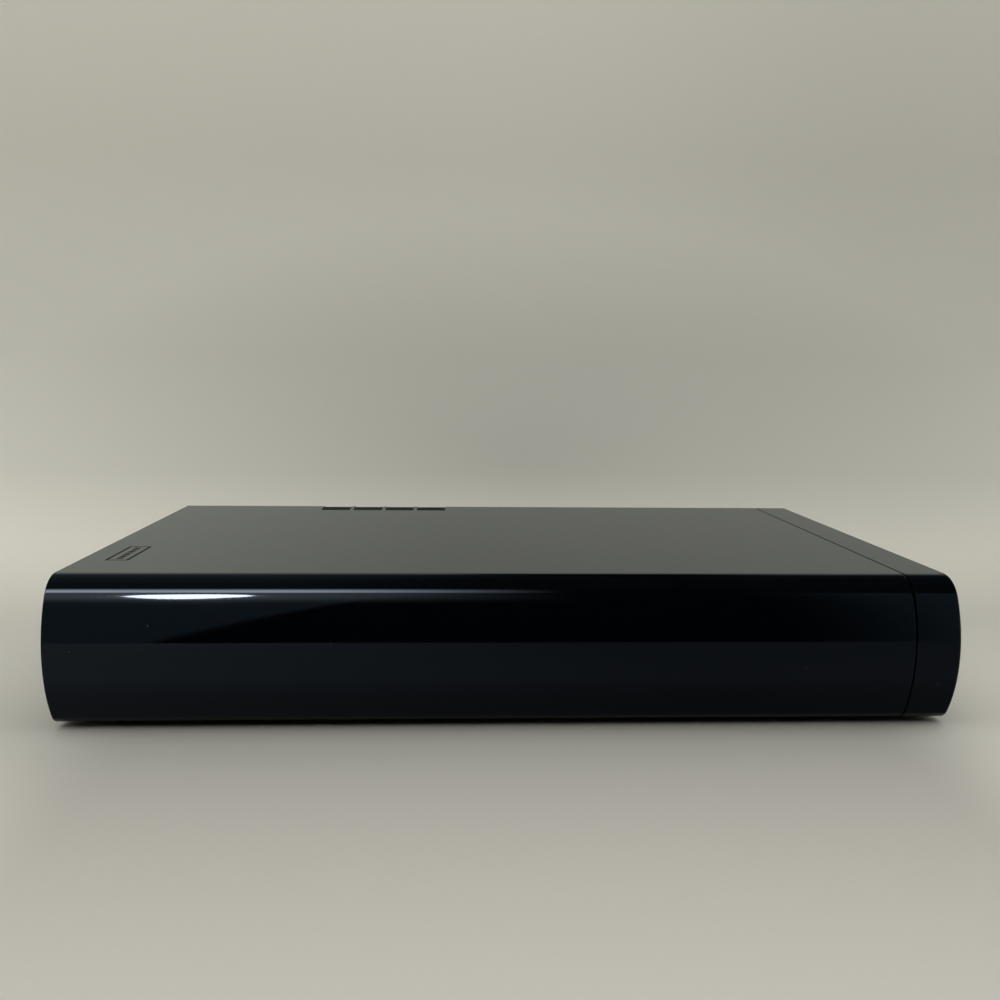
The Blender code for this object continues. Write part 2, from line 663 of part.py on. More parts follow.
def make_front_bezel():
    rings = []
    for depth, inset in arc((EDGE_ROUND, EDGE_ROUND), EDGE_ROUND, 180, 270, EDGE_STEPS):
        rings.append([(x, FRONT_Y + depth, z) for x, z in case_section(inset)])
    rings.append([(x, BEZEL_BACK, z) for x, z in case_section(0)])
    bezel = piece("front_bezel", lofted(rings), "gloss_black")
    cut(bezel, prism(case_section(WALL), 1, WALL_BACK, BEZEL_BACK + PAST))
    out = FRONT_Y - PAST
    inside = WALL_BACK + PAST
    half = SLOT_HEIGHT / 2
    ends = ((half - SLOT_HALF, DISC_Z), (SLOT_HALF - half, DISC_Z))
    cut(bezel, prism(capsule(ends[0], half, ends[1], half), 1, out, inside))
    cut(bezel, box((-OPENING_HALF, out, FLAP_Z), (OPENING_HALF, inside, OPENING_TOP)))
    low = (-NOTCH_HALF, out, OPENING_TOP - SINK)
    cut(bezel, box(low, (NOTCH_HALF, FRONT_Y + NOTCH_DEPTH, OPENING_TOP + NOTCH_HEIGHT)))
    pin_end = OPENING_HALF + FLAP_PIN_LENGTH
    cut(bezel, rod(0, (HINGE_Y, HINGE_Z), FLAP_PIN_RADIUS + RUNNING, -pin_end, pin_end))
    hole = BUTTON_RADIUS + GAP
    for side in (-1, 1):
        cut(bezel, rod(1, (side * BUTTON_X, DISC_Z), hole, out, inside, ROUND_STEPS))
    reach_x = LIGHT_HALF_WIDTH + GAP
    reach_z = LIGHT_HALF_HEIGHT + GAP
    low = (-BUTTON_X - reach_x, out, LIGHT_Z - reach_z)
    cut(bezel, box(low, (reach_x - BUTTON_X, inside, LIGHT_Z + reach_z)))
    for side in (-1, 1):
        near, far = sorted((side * TAB_INNER_X, side * TAB_OUTER_X))
        join(bezel, prism(tab_outline(CEILING - GAP, CEILING, -1), 0, near, far))
        join(bezel, prism(tab_outline(PAN_TOP + GAP, LIP_TOP, 1), 0, near, far))


def make_port_flap():
    radius = WALL / 2
    outline = arc((HINGE_Y, HINGE_Z), radius, 180, 360, HALF_STEPS)
    outline += [(HINGE_Y + radius, FLAP_TOP), (HINGE_Y - radius, FLAP_TOP)]
    hinge = (0, HINGE_Y, HINGE_Z)
    flap = piece("port_flap", prism(outline, 0, -FLAP_HALF, FLAP_HALF), "gloss_black", hinge)
    end = OPENING_HALF + FLAP_PIN_LENGTH - GAP
    join(flap, rod(0, (HINGE_Y, HINGE_Z), FLAP_PIN_RADIUS, -end, SINK - FLAP_HALF))
    join(flap, rod(0, (HINGE_Y, HINGE_Z), FLAP_PIN_RADIUS, FLAP_HALF - SINK, end))


def button_shape(place, radius, face, wall_back):
    """A round cap with a flange behind its wall and a stem towards its switch."""
    flange = radius + BUTTON_FLANGE
    flange_y = wall_back + GAP
    flange_back = flange_y + BUTTON_FLANGE_THICKNESS
    profile = [(0, face), (radius - BUTTON_EDGE, face), (radius, face + BUTTON_EDGE)]
    profile += [(radius, flange_y), (flange, flange_y), (flange, flange_back)]
    profile += [(STEM_RADIUS, flange_back), (STEM_RADIUS, STEM_END), (0, STEM_END)]
    return turned(profile, 1, place)


# The port bay is a shallow tub behind the flap. The front ports come through its back wall.
BAY_WALL = 1.2 * MM
BAY_DEPTH = 4.6 * MM
BAY_FRONT = WALL_BACK + GAP
BAY_FLOOR_Y = BAY_FRONT + BAY_DEPTH
BAY_BACK = BAY_FLOOR_Y + BAY_WALL
SYNC_RADIUS = 2.5 * MM
SYNC_SIDE_SPACE = 7 * MM
SYNC_PROUD = 1.1 * MM
CARD_WIDTH = 26 * MM
CARD_HEIGHT = 4.4 * MM
CARD_WALL = 0.9 * MM
PORT_FLOOR = 1 * MM
FRONT_PORT_SPACING = 4 * MM
FRONT_PORT_Z = (FLAP_Z + OPENING_TOP) / 2
SYNC_X = SYNC_RADIUS + SYNC_SIDE_SPACE - FLAP_HALF
USB_LEFT_X = SYNC_X + SYNC_RADIUS + FRONT_PORT_SPACING + USB_WIDTH / 2
USB_RIGHT_X = USB_LEFT_X + USB_WIDTH + FRONT_PORT_SPACING
CARD_X = USB_RIGHT_X + USB_WIDTH / 2 + FRONT_PORT_SPACING + CARD_WIDTH / 2


def window(x, z, width, height, start, end):
    """A box round a place on the front or the rear, as wide and high as given."""
    return box((x - width / 2, start, z - height / 2), (x + width / 2, end, z + height / 2))


def make_port_bay():
    high = (OPENING_HALF + BAY_WALL, BAY_BACK, OPENING_TOP + BAY_WALL)
    bay = piece("port_bay", box((-high[0], BAY_FRONT, FLAP_Z - BAY_WALL), high), "matte_black")
    low = (-OPENING_HALF, BAY_FRONT - PAST, FLAP_Z)
    cut(bay, box(low, (OPENING_HALF, BAY_FLOOR_Y, OPENING_TOP)))
    start = BAY_FLOOR_Y - PAST
    end = BAY_BACK + PAST
    usb = (USB_WIDTH + 2 * GAP, USB_HEIGHT + 2 * GAP, start, end)
    holes = [window(x, FRONT_PORT_Z, *usb) for x in (USB_LEFT_X, USB_RIGHT_X)]
    holes.append(window(CARD_X, FRONT_PORT_Z, CARD_WIDTH + 2 * GAP, CARD_HEIGHT + 2 * GAP, start, end))
    holes.append(rod(1, (SYNC_X, FRONT_PORT_Z), SYNC_RADIUS + GAP, start, end))
    cut(bay, together(holes))


def make_buttons():
    for name, side in (("power_button", -1), ("eject_button", 1)):
        place = (side * BUTTON_X, DISC_Z)
        face = FRONT_Y + BUTTON_RECESS
        shape = button_shape(place, BUTTON_RADIUS, face, WALL_BACK)
        piece(name, shape, "gloss_black", (place[0], face, DISC_Z))
    face = BAY_FLOOR_Y - SYNC_PROUD
    shape = button_shape((SYNC_X, FRONT_PORT_Z), SYNC_RADIUS, face, BAY_BACK)
    piece("sync_button", shape, "red", (SYNC_X, face, FRONT_PORT_Z))


def make_power_light():
    end = FRONT_BOARD_Y - GAP
    width = 2 * LIGHT_HALF_WIDTH
    height = 2 * LIGHT_HALF_HEIGHT
    shape = window(-BUTTON_X, LIGHT_Z, width, height, FRONT_Y + LIGHT_RECESS, end)
    light = piece("power_light", shape, "clear")
    flange_y = WALL_BACK + GAP
    flange = (width + 2 * LIGHT_FLANGE, height + 2 * LIGHT_FLANGE)
    join(light, window(-BUTTON_X, LIGHT_Z, *flange, flange_y, flange_y + BUTTON_FLANGE_THICKNESS))


# The dust felt frames the slot on the bezel's inner face.
FELT_THICKNESS = 0.8 * MM
FELT_SIDE = 3.5 * MM
FELT_BORDER = 2.6 * MM


def make_slot_felt():
    start = WALL_BACK + GAP
    end = start + FELT_THICKNESS
    height = SLOT_HEIGHT + 2 * FELT_BORDER
    felt = piece("slot_felt", window(0, DISC_Z, 2 * (SLOT_HALF + FELT_SIDE), height, start, end), "felt")
    cut(felt, window(0, DISC_Z, 2 * SLOT_HALF, SLOT_HEIGHT, start - PAST, end + PAST))


# The front board is a low strip with an upright wing beside each end of the slot.
FOOT_CASE_SPACE = 10 * MM
WING_CASE_SPACE = 7 * MM
WING_SPACE = 1.5 * MM
WING_LIFT = 10.4 * MM
WING_RISE = 4.3 * MM
STRIP_SPACE = 1 * MM
BOARD_FOOT_HALF = HALF_WIDTH - FOOT_CASE_SPACE
WING_OUTER = HALF_WIDTH - WING_CASE_SPACE
WING_Z = UNDERSIDE + WING_LIFT


def make_front_board():
    wing_top = DISC_Z + WING_RISE
    wing_inner = DRIVE_HALF + WING_SPACE
    low = TAB_LOW_TOP + GAP
    strip_top = DRIVE_Z - STRIP_SPACE
    right = [(BOARD_FOOT_HALF, low), (BOARD_FOOT_HALF, WING_Z), (WING_OUTER, WING_Z)]
    right += [(WING_OUTER, wing_top), (wing_inner, wing_top), (wing_inner, strip_top)]
    shape = prism(right + mirrored(right), 1, FRONT_BOARD_Y, FRONT_BOARD_BACK)
    board = piece("front_board", shape, "board_green")
    for x, z in ((-BUTTON_X, DISC_Z), (BUTTON_X, DISC_Z), (SYNC_X, FRONT_PORT_Z)):
        start = FRONT_BOARD_Y - SWITCH_DEPTH
        join(board, window(x, z, 2 * SWITCH_HALF, 2 * SWITCH_HALF, start, FRONT_BOARD_Y + SINK))
        join(board, rod(1, (x, z), PLUNGER_RADIUS, PLUNGER_Y, start + SINK))


def make_usb_socket(name, x, z, front, back, direction):
    """A data socket between two Y places. Its mouth is at front, and direction points inwards."""
    low, high = sorted((front, back))
    socket = piece(name, window(x, z, USB_WIDTH, USB_HEIGHT, low, high), "bright_steel")
    floor = back - direction * PORT_FLOOR
    low, high = sorted((front - direction * PAST, floor))
    cut(socket, window(x, z, USB_WIDTH - 2 * USB_SHELL, USB_HEIGHT - 2 * USB_SHELL, low, high))
    low, high = sorted((front + direction * USB_TONGUE_SPACE, floor + direction * SINK))
    tongue = USB_WIDTH - 2 * (USB_SHELL + USB_TONGUE_SPACE)
    join(socket, window(x, z, tongue, USB_TONGUE_THICKNESS, low, high))


def make_front_ports():
    back = FRONT_BOARD_Y - GAP
    make_usb_socket("usb_port_left", USB_LEFT_X, FRONT_PORT_Z, BAY_FLOOR_Y, back, 1)
    make_usb_socket("usb_port_right", USB_RIGHT_X, FRONT_PORT_Z, BAY_FLOOR_Y, back, 1)
    shape = window(CARD_X, FRONT_PORT_Z, CARD_WIDTH, CARD_HEIGHT, BAY_FLOOR_Y, back)
    reader = piece("card_reader", shape, "matte_black")
    width = CARD_WIDTH - 2 * CARD_WALL
    height = CARD_HEIGHT - 2 * CARD_WALL
    cut(reader, window(CARD_X, FRONT_PORT_Z, width, height, BAY_FLOOR_Y - PAST, back - PORT_FLOOR))


def rear_port_places():
    """The middle of each rear port's mouth, from left to right."""
    places = []
    edge = PORT_START_SPACE - BOARD_HALF
    for _, width, height, *_ in REAR_PORTS:
        places.append((edge + width / 2, PORT_Z + height / 2))
        edge += width + PORT_SPACING
    return places


def make_rear_ports():
    finishes = ("matte_black", "bright_steel", "matte_black", "bright_steel", "red")
    for port, place, finish in zip(REAR_PORTS, rear_port_places(), finishes):
        name, width, height, wall, tongue, space = port
        x, z = place
        socket = piece(name, window(x, z, width, height, PORT_START, PORT_MOUTH), finish)
        floor = PORT_MOUTH - PORT_DEPTH
        rows = (z,)
        mouth = height - 2 * wall
        if name == "usb_port_rear":
            rows = (PORT_Z + USB_HEIGHT / 2, PORT_Z + height - USB_HEIGHT / 2)
            mouth = USB_HEIGHT - 2 * wall
        for row in rows:
            cut(socket, window(x, row, width - 2 * wall, mouth, floor, PORT_MOUTH + PAST))
            reach = width - 2 * (wall + space)
            join(socket, window(x, row, reach, tongue, floor - SINK, PORT_MOUTH - space))


# The rear panel stands on the pan's upstand, a little inside the sleeve's end.
PANEL_Z = FLANGE_TOP + GAP
EXHAUST_SLOT = 2 * MM
EXHAUST_PITCH = 3.6 * MM
EXHAUST_MARGIN = 1 * MM
EXHAUST_Z = SINK_Z + EXHAUST_MARGIN
EXHAUST_TOP = SINK_TOP - EXHAUST_MARGIN


def make_rear_panel():
    inset = WALL + GAP
    section = [(x, max(z, PANEL_Z)) for x, z in case_side(inset)]
    right = [point for i, point in enumerate(section) if i == 0 or point[1] < section[i - 1][1]]
    panel = piece("rear_panel", prism(mirrored(right) + right, 1, PANEL_BACK, PANEL_FACE), "matte_black")
    start = PANEL_BACK - PAST
    end = PANEL_FACE + PAST
    holes = []
    for (_, width, height, *_), (x, z) in zip(REAR_PORTS, rear_port_places()):
        holes.append(window(x, z, width + 2 * GAP, height + 2 * GAP, start, end))
    count = int((2 * SINK_HALF - EXHAUST_SLOT) / EXHAUST_PITCH) + 1
    middle = (EXHAUST_Z + EXHAUST_TOP) / 2
    for i in range(count):
        x = COOLING_X + (i - (count - 1) / 2) * EXHAUST_PITCH
        holes.append(window(x, middle, EXHAUST_SLOT, EXHAUST_TOP - EXHAUST_Z, start, end))
    cut(panel, together(holes))


# Parts on the main board
CHIP_HALF = 16 * MM
MEMORY_HALF = 5 * MM
MEMORY_HEIGHT = 1.2 * MM
MEMORY_COUNT = 4
MEMORY_PITCH = 15 * MM
MEMORY_X = -46 * MM
CHIP_Y = (SINK_FRONT + SINK_BACK) / 2


def make_boards():
    low = (-BOARD_HALF, BOARD_FRONT, BOARD_Z)
    board = piece("main_board", box(low, (BOARD_HALF, SINK_BACK, BOARD_TOP)), "board_green")
    chips = []
    for i in range(MEMORY_COUNT):
        x = MEMORY_X + i * MEMORY_PITCH
        low = (x - MEMORY_HALF, SPINDLE_Y - MEMORY_HALF, BOARD_TOP - SINK)
        chips.append(box(low, (x + MEMORY_HALF, SPINDLE_Y + MEMORY_HALF, BOARD_TOP + MEMORY_HEIGHT)))
    join(board, together(chips))
    low = (COOLING_X - CHIP_HALF, CHIP_Y - CHIP_HALF, CHIP_Z)
    piece("processor", box(low, (COOLING_X + CHIP_HALF, CHIP_Y + CHIP_HALF, CHIP_TOP)), "sheet_steel")


def make_shield():
    outer = SHIELD_HALF
    inner = SHIELD_HALF - SHIELD_THICKNESS
    foot = PAN_TOP + GAP
    right = [(outer, foot), (inner, foot), (inner, SHIELD_Z)]
    outline = right + mirrored(right) + [(-outer, SHIELD_TOP), (outer, SHIELD_TOP)]
    piece("metal_shield", prism(outline, 1, BOARD_FRONT, DRIVE_BACK), "sheet_steel")


# The wireless board stands over the main board on its connector.
WIRELESS_LENGTH = 28 * MM
WIRELESS_WIDTH = 24 * MM
WIRELESS_THICKNESS = 1.2 * MM
WIRELESS_LIFT = 2.8 * MM
WIRELESS_SIDE_SPACE = 4 * MM
CONNECTOR_LENGTH = 5 * MM


def make_wireless_board():
    x = WIRELESS_SIDE_SPACE - BOARD_HALF
    y = BLOWER_Y - WIRELESS_LENGTH / 2
    z = BOARD_TOP + GAP
    low = (x, y, z + WIRELESS_LIFT)
    high = (x + WIRELESS_WIDTH, y + WIRELESS_LENGTH, z + WIRELESS_LIFT + WIRELESS_THICKNESS)
    board = piece("wireless_board", box(low, high), "board_green")
    low = (x + SINK, y + SINK, z)
    join(board, box(low, (high[0] - SINK, y + CONNECTOR_LENGTH, z + WIRELESS_LIFT + SINK)))


# A flat cable runs from the back of the drive down to the main board.
CABLE_WIDTH = 24 * MM
CABLE_THICKNESS = 0.4 * MM
CABLE_X = -28 * MM
CABLE_RISE = 3 * MM
CABLE_REACH = 4 * MM


def make_flat_cable():
    start = DRIVE_BACK + GAP
    end = DRIVE_BACK + CABLE_REACH
    top = FLOOR_TOP + CABLE_RISE
    foot = BOARD_TOP + GAP
    under = top - CABLE_THICKNESS
    inner = end - CABLE_THICKNESS
    outline = [(start, top), (end, top), (end, foot), (inner, foot), (inner, under), (start, under)]
    half = CABLE_WIDTH / 2
    piece("flat_cable", prism(outline, 0, CABLE_X - half, CABLE_X + half), "white_plastic")


# The heat sink is one comb of fins on the processor.
SINK_BASE = 3 * MM
FIN_COUNT = 17
FIN_THICKNESS = 0.9 * MM


def make_heat_sink():
    low = SINK_Z
    base = low + SINK_BASE
    top = SINK_TOP
    left = COOLING_X - SINK_HALF
    pitch = (2 * SINK_HALF - FIN_THICKNESS) / (FIN_COUNT - 1)
    comb = []
    for i in range(FIN_COUNT):
        x = left + i * pitch
        comb += [(x, base), (x, top), (x + FIN_THICKNESS, top), (x + FIN_THICKNESS, base)]
    outline = [(left, low), *comb[1:-1], (COOLING_X + SINK_HALF, low)]
    piece("heat_sink", prism(outline, 1, SINK_FRONT, SINK_BACK), "aluminium")


# The blower draws air in at its top and blows it through the heat sink.
BLOWER_WALL = 1.2 * MM
BLOWER_HEIGHT = 26 * MM
INLET_RADIUS = 18 * MM
IMPELLER_GAP = 2.4 * MM
BLADE_COUNT = 24
BLADE_DEPTH = 6 * MM
BLADE_THICKNESS = 0.8 * MM
BLADE_HEIGHT = 18 * MM
IMPELLER_PLATE = 1.2 * MM
HUB_RADIUS = 9 * MM
HUB_HEIGHT = 14 * MM
SHROUD_WIDTH = 1.4 * MM
SHROUD_HEIGHT = 1.2 * MM
BLOWER_Z = BOARD_TOP + GAP


def blower_outline(inset, end):
    """A half circle at the front with straight sides to the outlet."""
    radius = BLOWER_RADIUS - inset
    points = arc((COOLING_X, BLOWER_Y), radius, 180, 360, 2 * HALF_STEPS)
    return points + [(COOLING_X + radius, end), (COOLING_X - radius, end)]


def make_blower():
    top = BLOWER_Z + BLOWER_HEIGHT
    floor = BLOWER_Z + BLOWER_WALL
    shape = prism(blower_outline(0, BLOWER_END), 2, BLOWER_Z, top)
    housing = piece("blower_housing", shape, "matte_black")
    inner = blower_outline(BLOWER_WALL, BLOWER_END + PAST)
    cut(housing, prism(inner, 2, floor, top - BLOWER_WALL))
    centre = (COOLING_X, BLOWER_Y)
    cut(housing, rod(2, centre, INLET_RADIUS, top - BLOWER_WALL - PAST, top + PAST, ROUND_STEPS))

    outer = BLOWER_RADIUS - BLOWER_WALL - IMPELLER_GAP
    low = floor + GAP
    plate_top = low + IMPELLER_PLATE
    hub_top = low + HUB_HEIGHT
    profile = [(0, low), (outer, low), (outer, plate_top), (HUB_RADIUS, plate_top)]
    profile += [(HUB_RADIUS, hub_top), (0, hub_top)]
    origin = (COOLING_X, BLOWER_Y, low)
    impeller = piece("blower_impeller", turned(profile, 2, centre), "matte_black", origin)
    blade_top = plate_top + BLADE_HEIGHT
    blades = []
    for i in range(BLADE_COUNT):
        angle = 2 * math.pi * i / BLADE_COUNT
        inner_x = outer - BLADE_DEPTH
        blade = box(
            (inner_x, -BLADE_THICKNESS / 2, plate_top - SINK),
            (outer - SINK, BLADE_THICKNESS / 2, blade_top),
        )
        for vert in blade.verts:
            x, y, z = vert.co
            turn_x = x * math.cos(angle) - y * math.sin(angle)
            turn_y = x * math.sin(angle) + y * math.cos(angle)
            vert.co = (COOLING_X + turn_x, BLOWER_Y + turn_y, z)
        blades.append(blade)
    join(impeller, together(blades))
    ring = [(outer - SHROUD_WIDTH, blade_top - SHROUD_HEIGHT), (outer, blade_top - SHROUD_HEIGHT)]
    ring += [(outer, blade_top + SINK), (outer - SHROUD_WIDTH, blade_top + SINK)]
    join(impeller, turned(ring, 2, centre))


# The drive's traverse frame, drawn level as it is while a disc plays. It carries the spindle
# motor, the sled and what moves it, and it turns on two pins near the back of the drive.
LIFT_DEGREES = 3.9
PLATTER_RADIUS = 14 * MM
PLATTER_THICKNESS = 1.2 * MM
CONE_RADIUS = 7.3 * MM
CONE_TOP_RADIUS = 5.5 * MM
CONE_HEIGHT = 2.2 * MM
SPINDLE_RADIUS = 1.2 * MM
SPINDLE_LENGTH = 2.4 * MM
MOTOR_RADIUS = 12 * MM
MOTOR_HEIGHT = 3.7 * MM
FRAME_SIDE_SPACE = 5.5 * MM
FRAME_THICKNESS = 1.6 * MM
FRAME_NOSE = 16 * MM
FRAME_TAIL = 2 * MM
PIVOT_REACH = 70 * MM
PIVOT_RADIUS = 1.2 * MM
PIVOT_LENGTH = 3 * MM
EAR_SPACE = 0.6 * MM
EAR_THICKNESS = 3 * MM
EAR_HALF = 3 * MM
ROD_RADIUS = 1.2 * MM
ROD_LIFT = 1.9 * MM
ROD_X = 21 * MM
BLOCK_HALF = 2.2 * MM
BLOCK_LENGTH = 3 * MM
BLOCK_CAP = 0.3 * MM
BLOCK_SPACE = 1 * MM
SLED_HALF_LENGTH = 7 * MM
SLED_SIDE = 3 * MM
SLED_HEIGHT = 3.2 * MM
SLED_TRAVEL = 34 * MM
LENS_START = 24 * MM
LENS_RADIUS = 3.2 * MM
LENS_SPACE = 1.1 * MM
SCREW_SPACE = 7.5 * MM
NUT_REACH = 2.6 * MM
SLED_MOTOR_RADIUS = 3.2 * MM
SLED_MOTOR_LENGTH = 12 * MM
SLED_MOTOR_SPACE = 12 * MM
BORE_DEPTH = 2 * MM
WINDOW_HALF = 16 * MM
CAM_PIN_RADIUS = 1 * MM

PLATTER_Z = DISC_UNDER - PLATTER_THICKNESS
MOTOR_TOP = PLATTER_Z - GAP
MOTOR_Z = MOTOR_TOP - MOTOR_HEIGHT
FRAME_TOP = MOTOR_Z - GAP
FRAME_Z = FRAME_TOP - FRAME_THICKNESS
PIVOT_Y = SPINDLE_Y + PIVOT_REACH
PIVOT_Z = (FRAME_Z + FRAME_TOP) / 2
FRAME_FRONT = SPINDLE_Y - FRAME_NOSE
FRAME_BACK = PIVOT_Y + FRAME_TAIL
ROD_Z = FRAME_TOP + ROD_LIFT
SLED_Z = FRAME_TOP + GAP
SLED_TOP = SLED_Z + SLED_HEIGHT
SLED_Y = SPINDLE_Y + LENS_START
SLED_FRONT = SLED_Y - SLED_HALF_LENGTH
SLED_BACK = SLED_Y + SLED_HALF_LENGTH
FRONT_BLOCK = SLED_FRONT - BLOCK_SPACE - BLOCK_LENGTH
BACK_BLOCK = SLED_BACK + SLED_TRAVEL + BLOCK_SPACE
ROD_END = BACK_BLOCK + BLOCK_LENGTH
LEAD_X = ROD_X + SCREW_SPACE
FRAME_HALF = LEAD_X + FRAME_SIDE_SPACE
SLED_MOTOR_BACK = FRONT_BLOCK - SLED_MOTOR_SPACE
SLED_MOTOR_FRONT = SLED_MOTOR_BACK - SLED_MOTOR_LENGTH

# The cam slider raises the front of the frame: its slot climbs as it moves to the right.
CAM_TRAVEL = 18 * MM
CAM_THICKNESS = 1.6 * MM
CAM_SPACE = 6.4 * MM
CAM_MARGIN = 2.4 * MM
CAM_END = 8 * MM
CAM_FOOT_DEPTH = 8 * MM
CAM_FOOT_THICKNESS = 1.2 * MM
CAM_BACK = FRAME_FRONT - CAM_SPACE
CAM_FRONT = CAM_BACK - CAM_THICKNESS
CAM_MIDDLE = (CAM_FRONT + CAM_BACK) / 2
CAM_PIN_TIP = CAM_FRONT - CAM_PIN_RADIUS
CAM_RISE = (PIVOT_Y - CAM_MIDDLE) * math.tan(math.radians(LIFT_DEGREES))

# The load roller in its swinging arm, which lies low while no disc moves
ROLLER_SPACE = 8 * MM
ROLLER_RADIUS = 3.5 * MM
ROLLER_SHAFT_RADIUS = 1 * MM
ROLLER_SIDE_SPACE = 5.3 * MM
ARM_LENGTH = 17 * MM
ARM_TAIL = 7.5 * MM
ARM_RADIUS = 3 * MM
ARM_THICKNESS = 1.2 * MM
ARM_SIDE_SPACE = 3.1 * MM
ARM_PIN_RADIUS = 1.5 * MM
ARM_BAR = 2.8 * MM
LOAD_MOTOR_RADIUS = 4.5 * MM
LOAD_MOTOR_LENGTH = 18 * MM
LOAD_SHAFT_RADIUS = 0.9 * MM
LOAD_BORE = 3 * MM
PULLEY_RADIUS = 2.4 * MM
MOTOR_PULLEY_RADIUS = 1.6 * MM
PULLEY_WIDTH = 1.8 * MM
PULLEY_SPACE = 1.5 * MM
BELT_THICKNESS = 0.8 * MM
BELT_MARGIN = 0.2 * MM
MOTOR_SPACE = 3 * MM

ROLLER_Y = DRIVE_FRONT + ROLLER_SPACE
ROLLER_Z = TUNNEL_Z - GAP - ROLLER_RADIUS
ARM_Y = ROLLER_Y + ARM_LENGTH
ARM_Z = FLOOR_TOP + GAP + LOAD_MOTOR_RADIUS
ARM_OUTER = TUNNEL_HALF - ARM_SIDE_SPACE
ARM_INNER = ARM_OUTER - ARM_THICKNESS
ROLLER_HALF = ARM_INNER - ROLLER_SIDE_SPACE
PULLEY_LEFT = PULLEY_SPACE - ARM_INNER
PULLEY_RIGHT = PULLEY_LEFT + PULLEY_WIDTH
LOAD_MOTOR_LEFT = PULLEY_RIGHT + MOTOR_SPACE
LOAD_MOTOR_RIGHT = LOAD_MOTOR_LEFT + LOAD_MOTOR_LENGTH

# The drive's chassis and cover
FRONT_LIP_SPACE = 0.7 * MM
CHASSIS_END = 1.2 * MM
FLOOR_HOLE_SPACE = 2 * MM
FLOOR_HOLE_BACK_SPACE = 14 * MM
DAMPER_RADIUS = 5 * MM
DAMPER_BORE = 1.6 * MM
DAMPER_SIDE_SPACE = 14 * MM
DAMPER_END_SPACE = 18 * MM


def make_drive_chassis():
    top = COVER_Z - GAP
    low = (-DRIVE_HALF, DRIVE_FRONT, DRIVE_Z)
    chassis = piece("drive_chassis", box(low, (DRIVE_HALF, DRIVE_BACK, top)), "sheet_steel")
    inner_front = DRIVE_FRONT + CHASSIS_END
    inner_back = DRIVE_BACK - CHASSIS_END
    cut(chassis, box((-TUNNEL_HALF, inner_front, FLOOR_TOP), (TUNNEL_HALF, inner_back, top + PAST)))
    low = (-TUNNEL_HALF, DRIVE_FRONT - PAST, TUNNEL_Z - FRONT_LIP_SPACE)
    cut(chassis, box(low, (TUNNEL_HALF, inner_front + PAST, top + PAST)))
    hole = FRAME_HALF + FLOOR_HOLE_SPACE
    low = (-hole, CAM_PIN_TIP - GAP, DRIVE_Z - PAST)
    cut(chassis, box(low, (hole, PIVOT_Y - FLOOR_HOLE_BACK_SPACE, FLOOR_TOP + PAST)))
    ear_inner = FRAME_HALF + EAR_SPACE
    ear_outer = ear_inner + EAR_THICKNESS
    ears = []
    for side in (-1, 1):
        near, far = sorted((side * ear_inner, side * ear_outer))
        low = (near, PIVOT_Y - EAR_HALF, FLOOR_TOP - SINK)
        ears.append(box(low, (far, PIVOT_Y + EAR_HALF - GAP, PIVOT_Z + EAR_HALF)))
    join(chassis, together(ears))
    reach = ear_outer + PAST
    cut(chassis, rod(0, (PIVOT_Y, PIVOT_Z), PIVOT_RADIUS + RUNNING, -reach, reach))
    reach = DRIVE_HALF + PAST
    cut(chassis, rod(0, (ARM_Y, ARM_Z), ARM_PIN_RADIUS + RUNNING, -reach, reach))


# The clamp puck hangs in the cover and presses the disc on the turntable.
PUCK_RADIUS = 12 * MM
PUCK_CLEARANCE = 0.5 * MM
PUCK_FLANGE = 2.4 * MM
PUCK_FLANGE_THICKNESS = 1.2 * MM
PUCK_FALL = 1.5 * MM


def make_drive_cover():
    low = (-DRIVE_HALF, DRIVE_FRONT, COVER_Z)
    cover = piece("drive_cover", box(low, (DRIVE_HALF, DRIVE_BACK, COVER_TOP)), "sheet_steel")
    centre = (0, SPINDLE_Y)
    hole = PUCK_RADIUS + PUCK_CLEARANCE
    cut(cover, rod(2, centre, hole, COVER_Z - PAST, COVER_TOP + PAST, ROUND_STEPS))
    flange_z = COVER_TOP + GAP
    flange = PUCK_RADIUS + PUCK_FLANGE
    flange_top = flange_z + PUCK_FLANGE_THICKNESS
    foot = COVER_Z - PUCK_FALL
    profile = [(0, foot), (PUCK_RADIUS, foot), (PUCK_RADIUS, flange_z), (flange, flange_z)]
    profile += [(flange, flange_top), (0, flange_top)]
    piece("clamp_puck", turned(profile, 2, centre), "white_plastic", (0, SPINDLE_Y, foot))


def make_dampers():
    number = 0
    for y in (DRIVE_FRONT + DAMPER_END_SPACE, DRIVE_BACK - DAMPER_END_SPACE):
        for side in (-1, 1):
            number += 1
            low = SHIELD_TOP + GAP
            top = DRIVE_Z - GAP
            profile = [(DAMPER_BORE, low), (DAMPER_RADIUS, low), (DAMPER_RADIUS, top), (DAMPER_BORE, top)]
            centre = (side * (DRIVE_HALF - DAMPER_SIDE_SPACE), y)
            piece(f"drive_damper_{number}", turned(profile, 2, centre, SMALL_STEPS), "rubber")


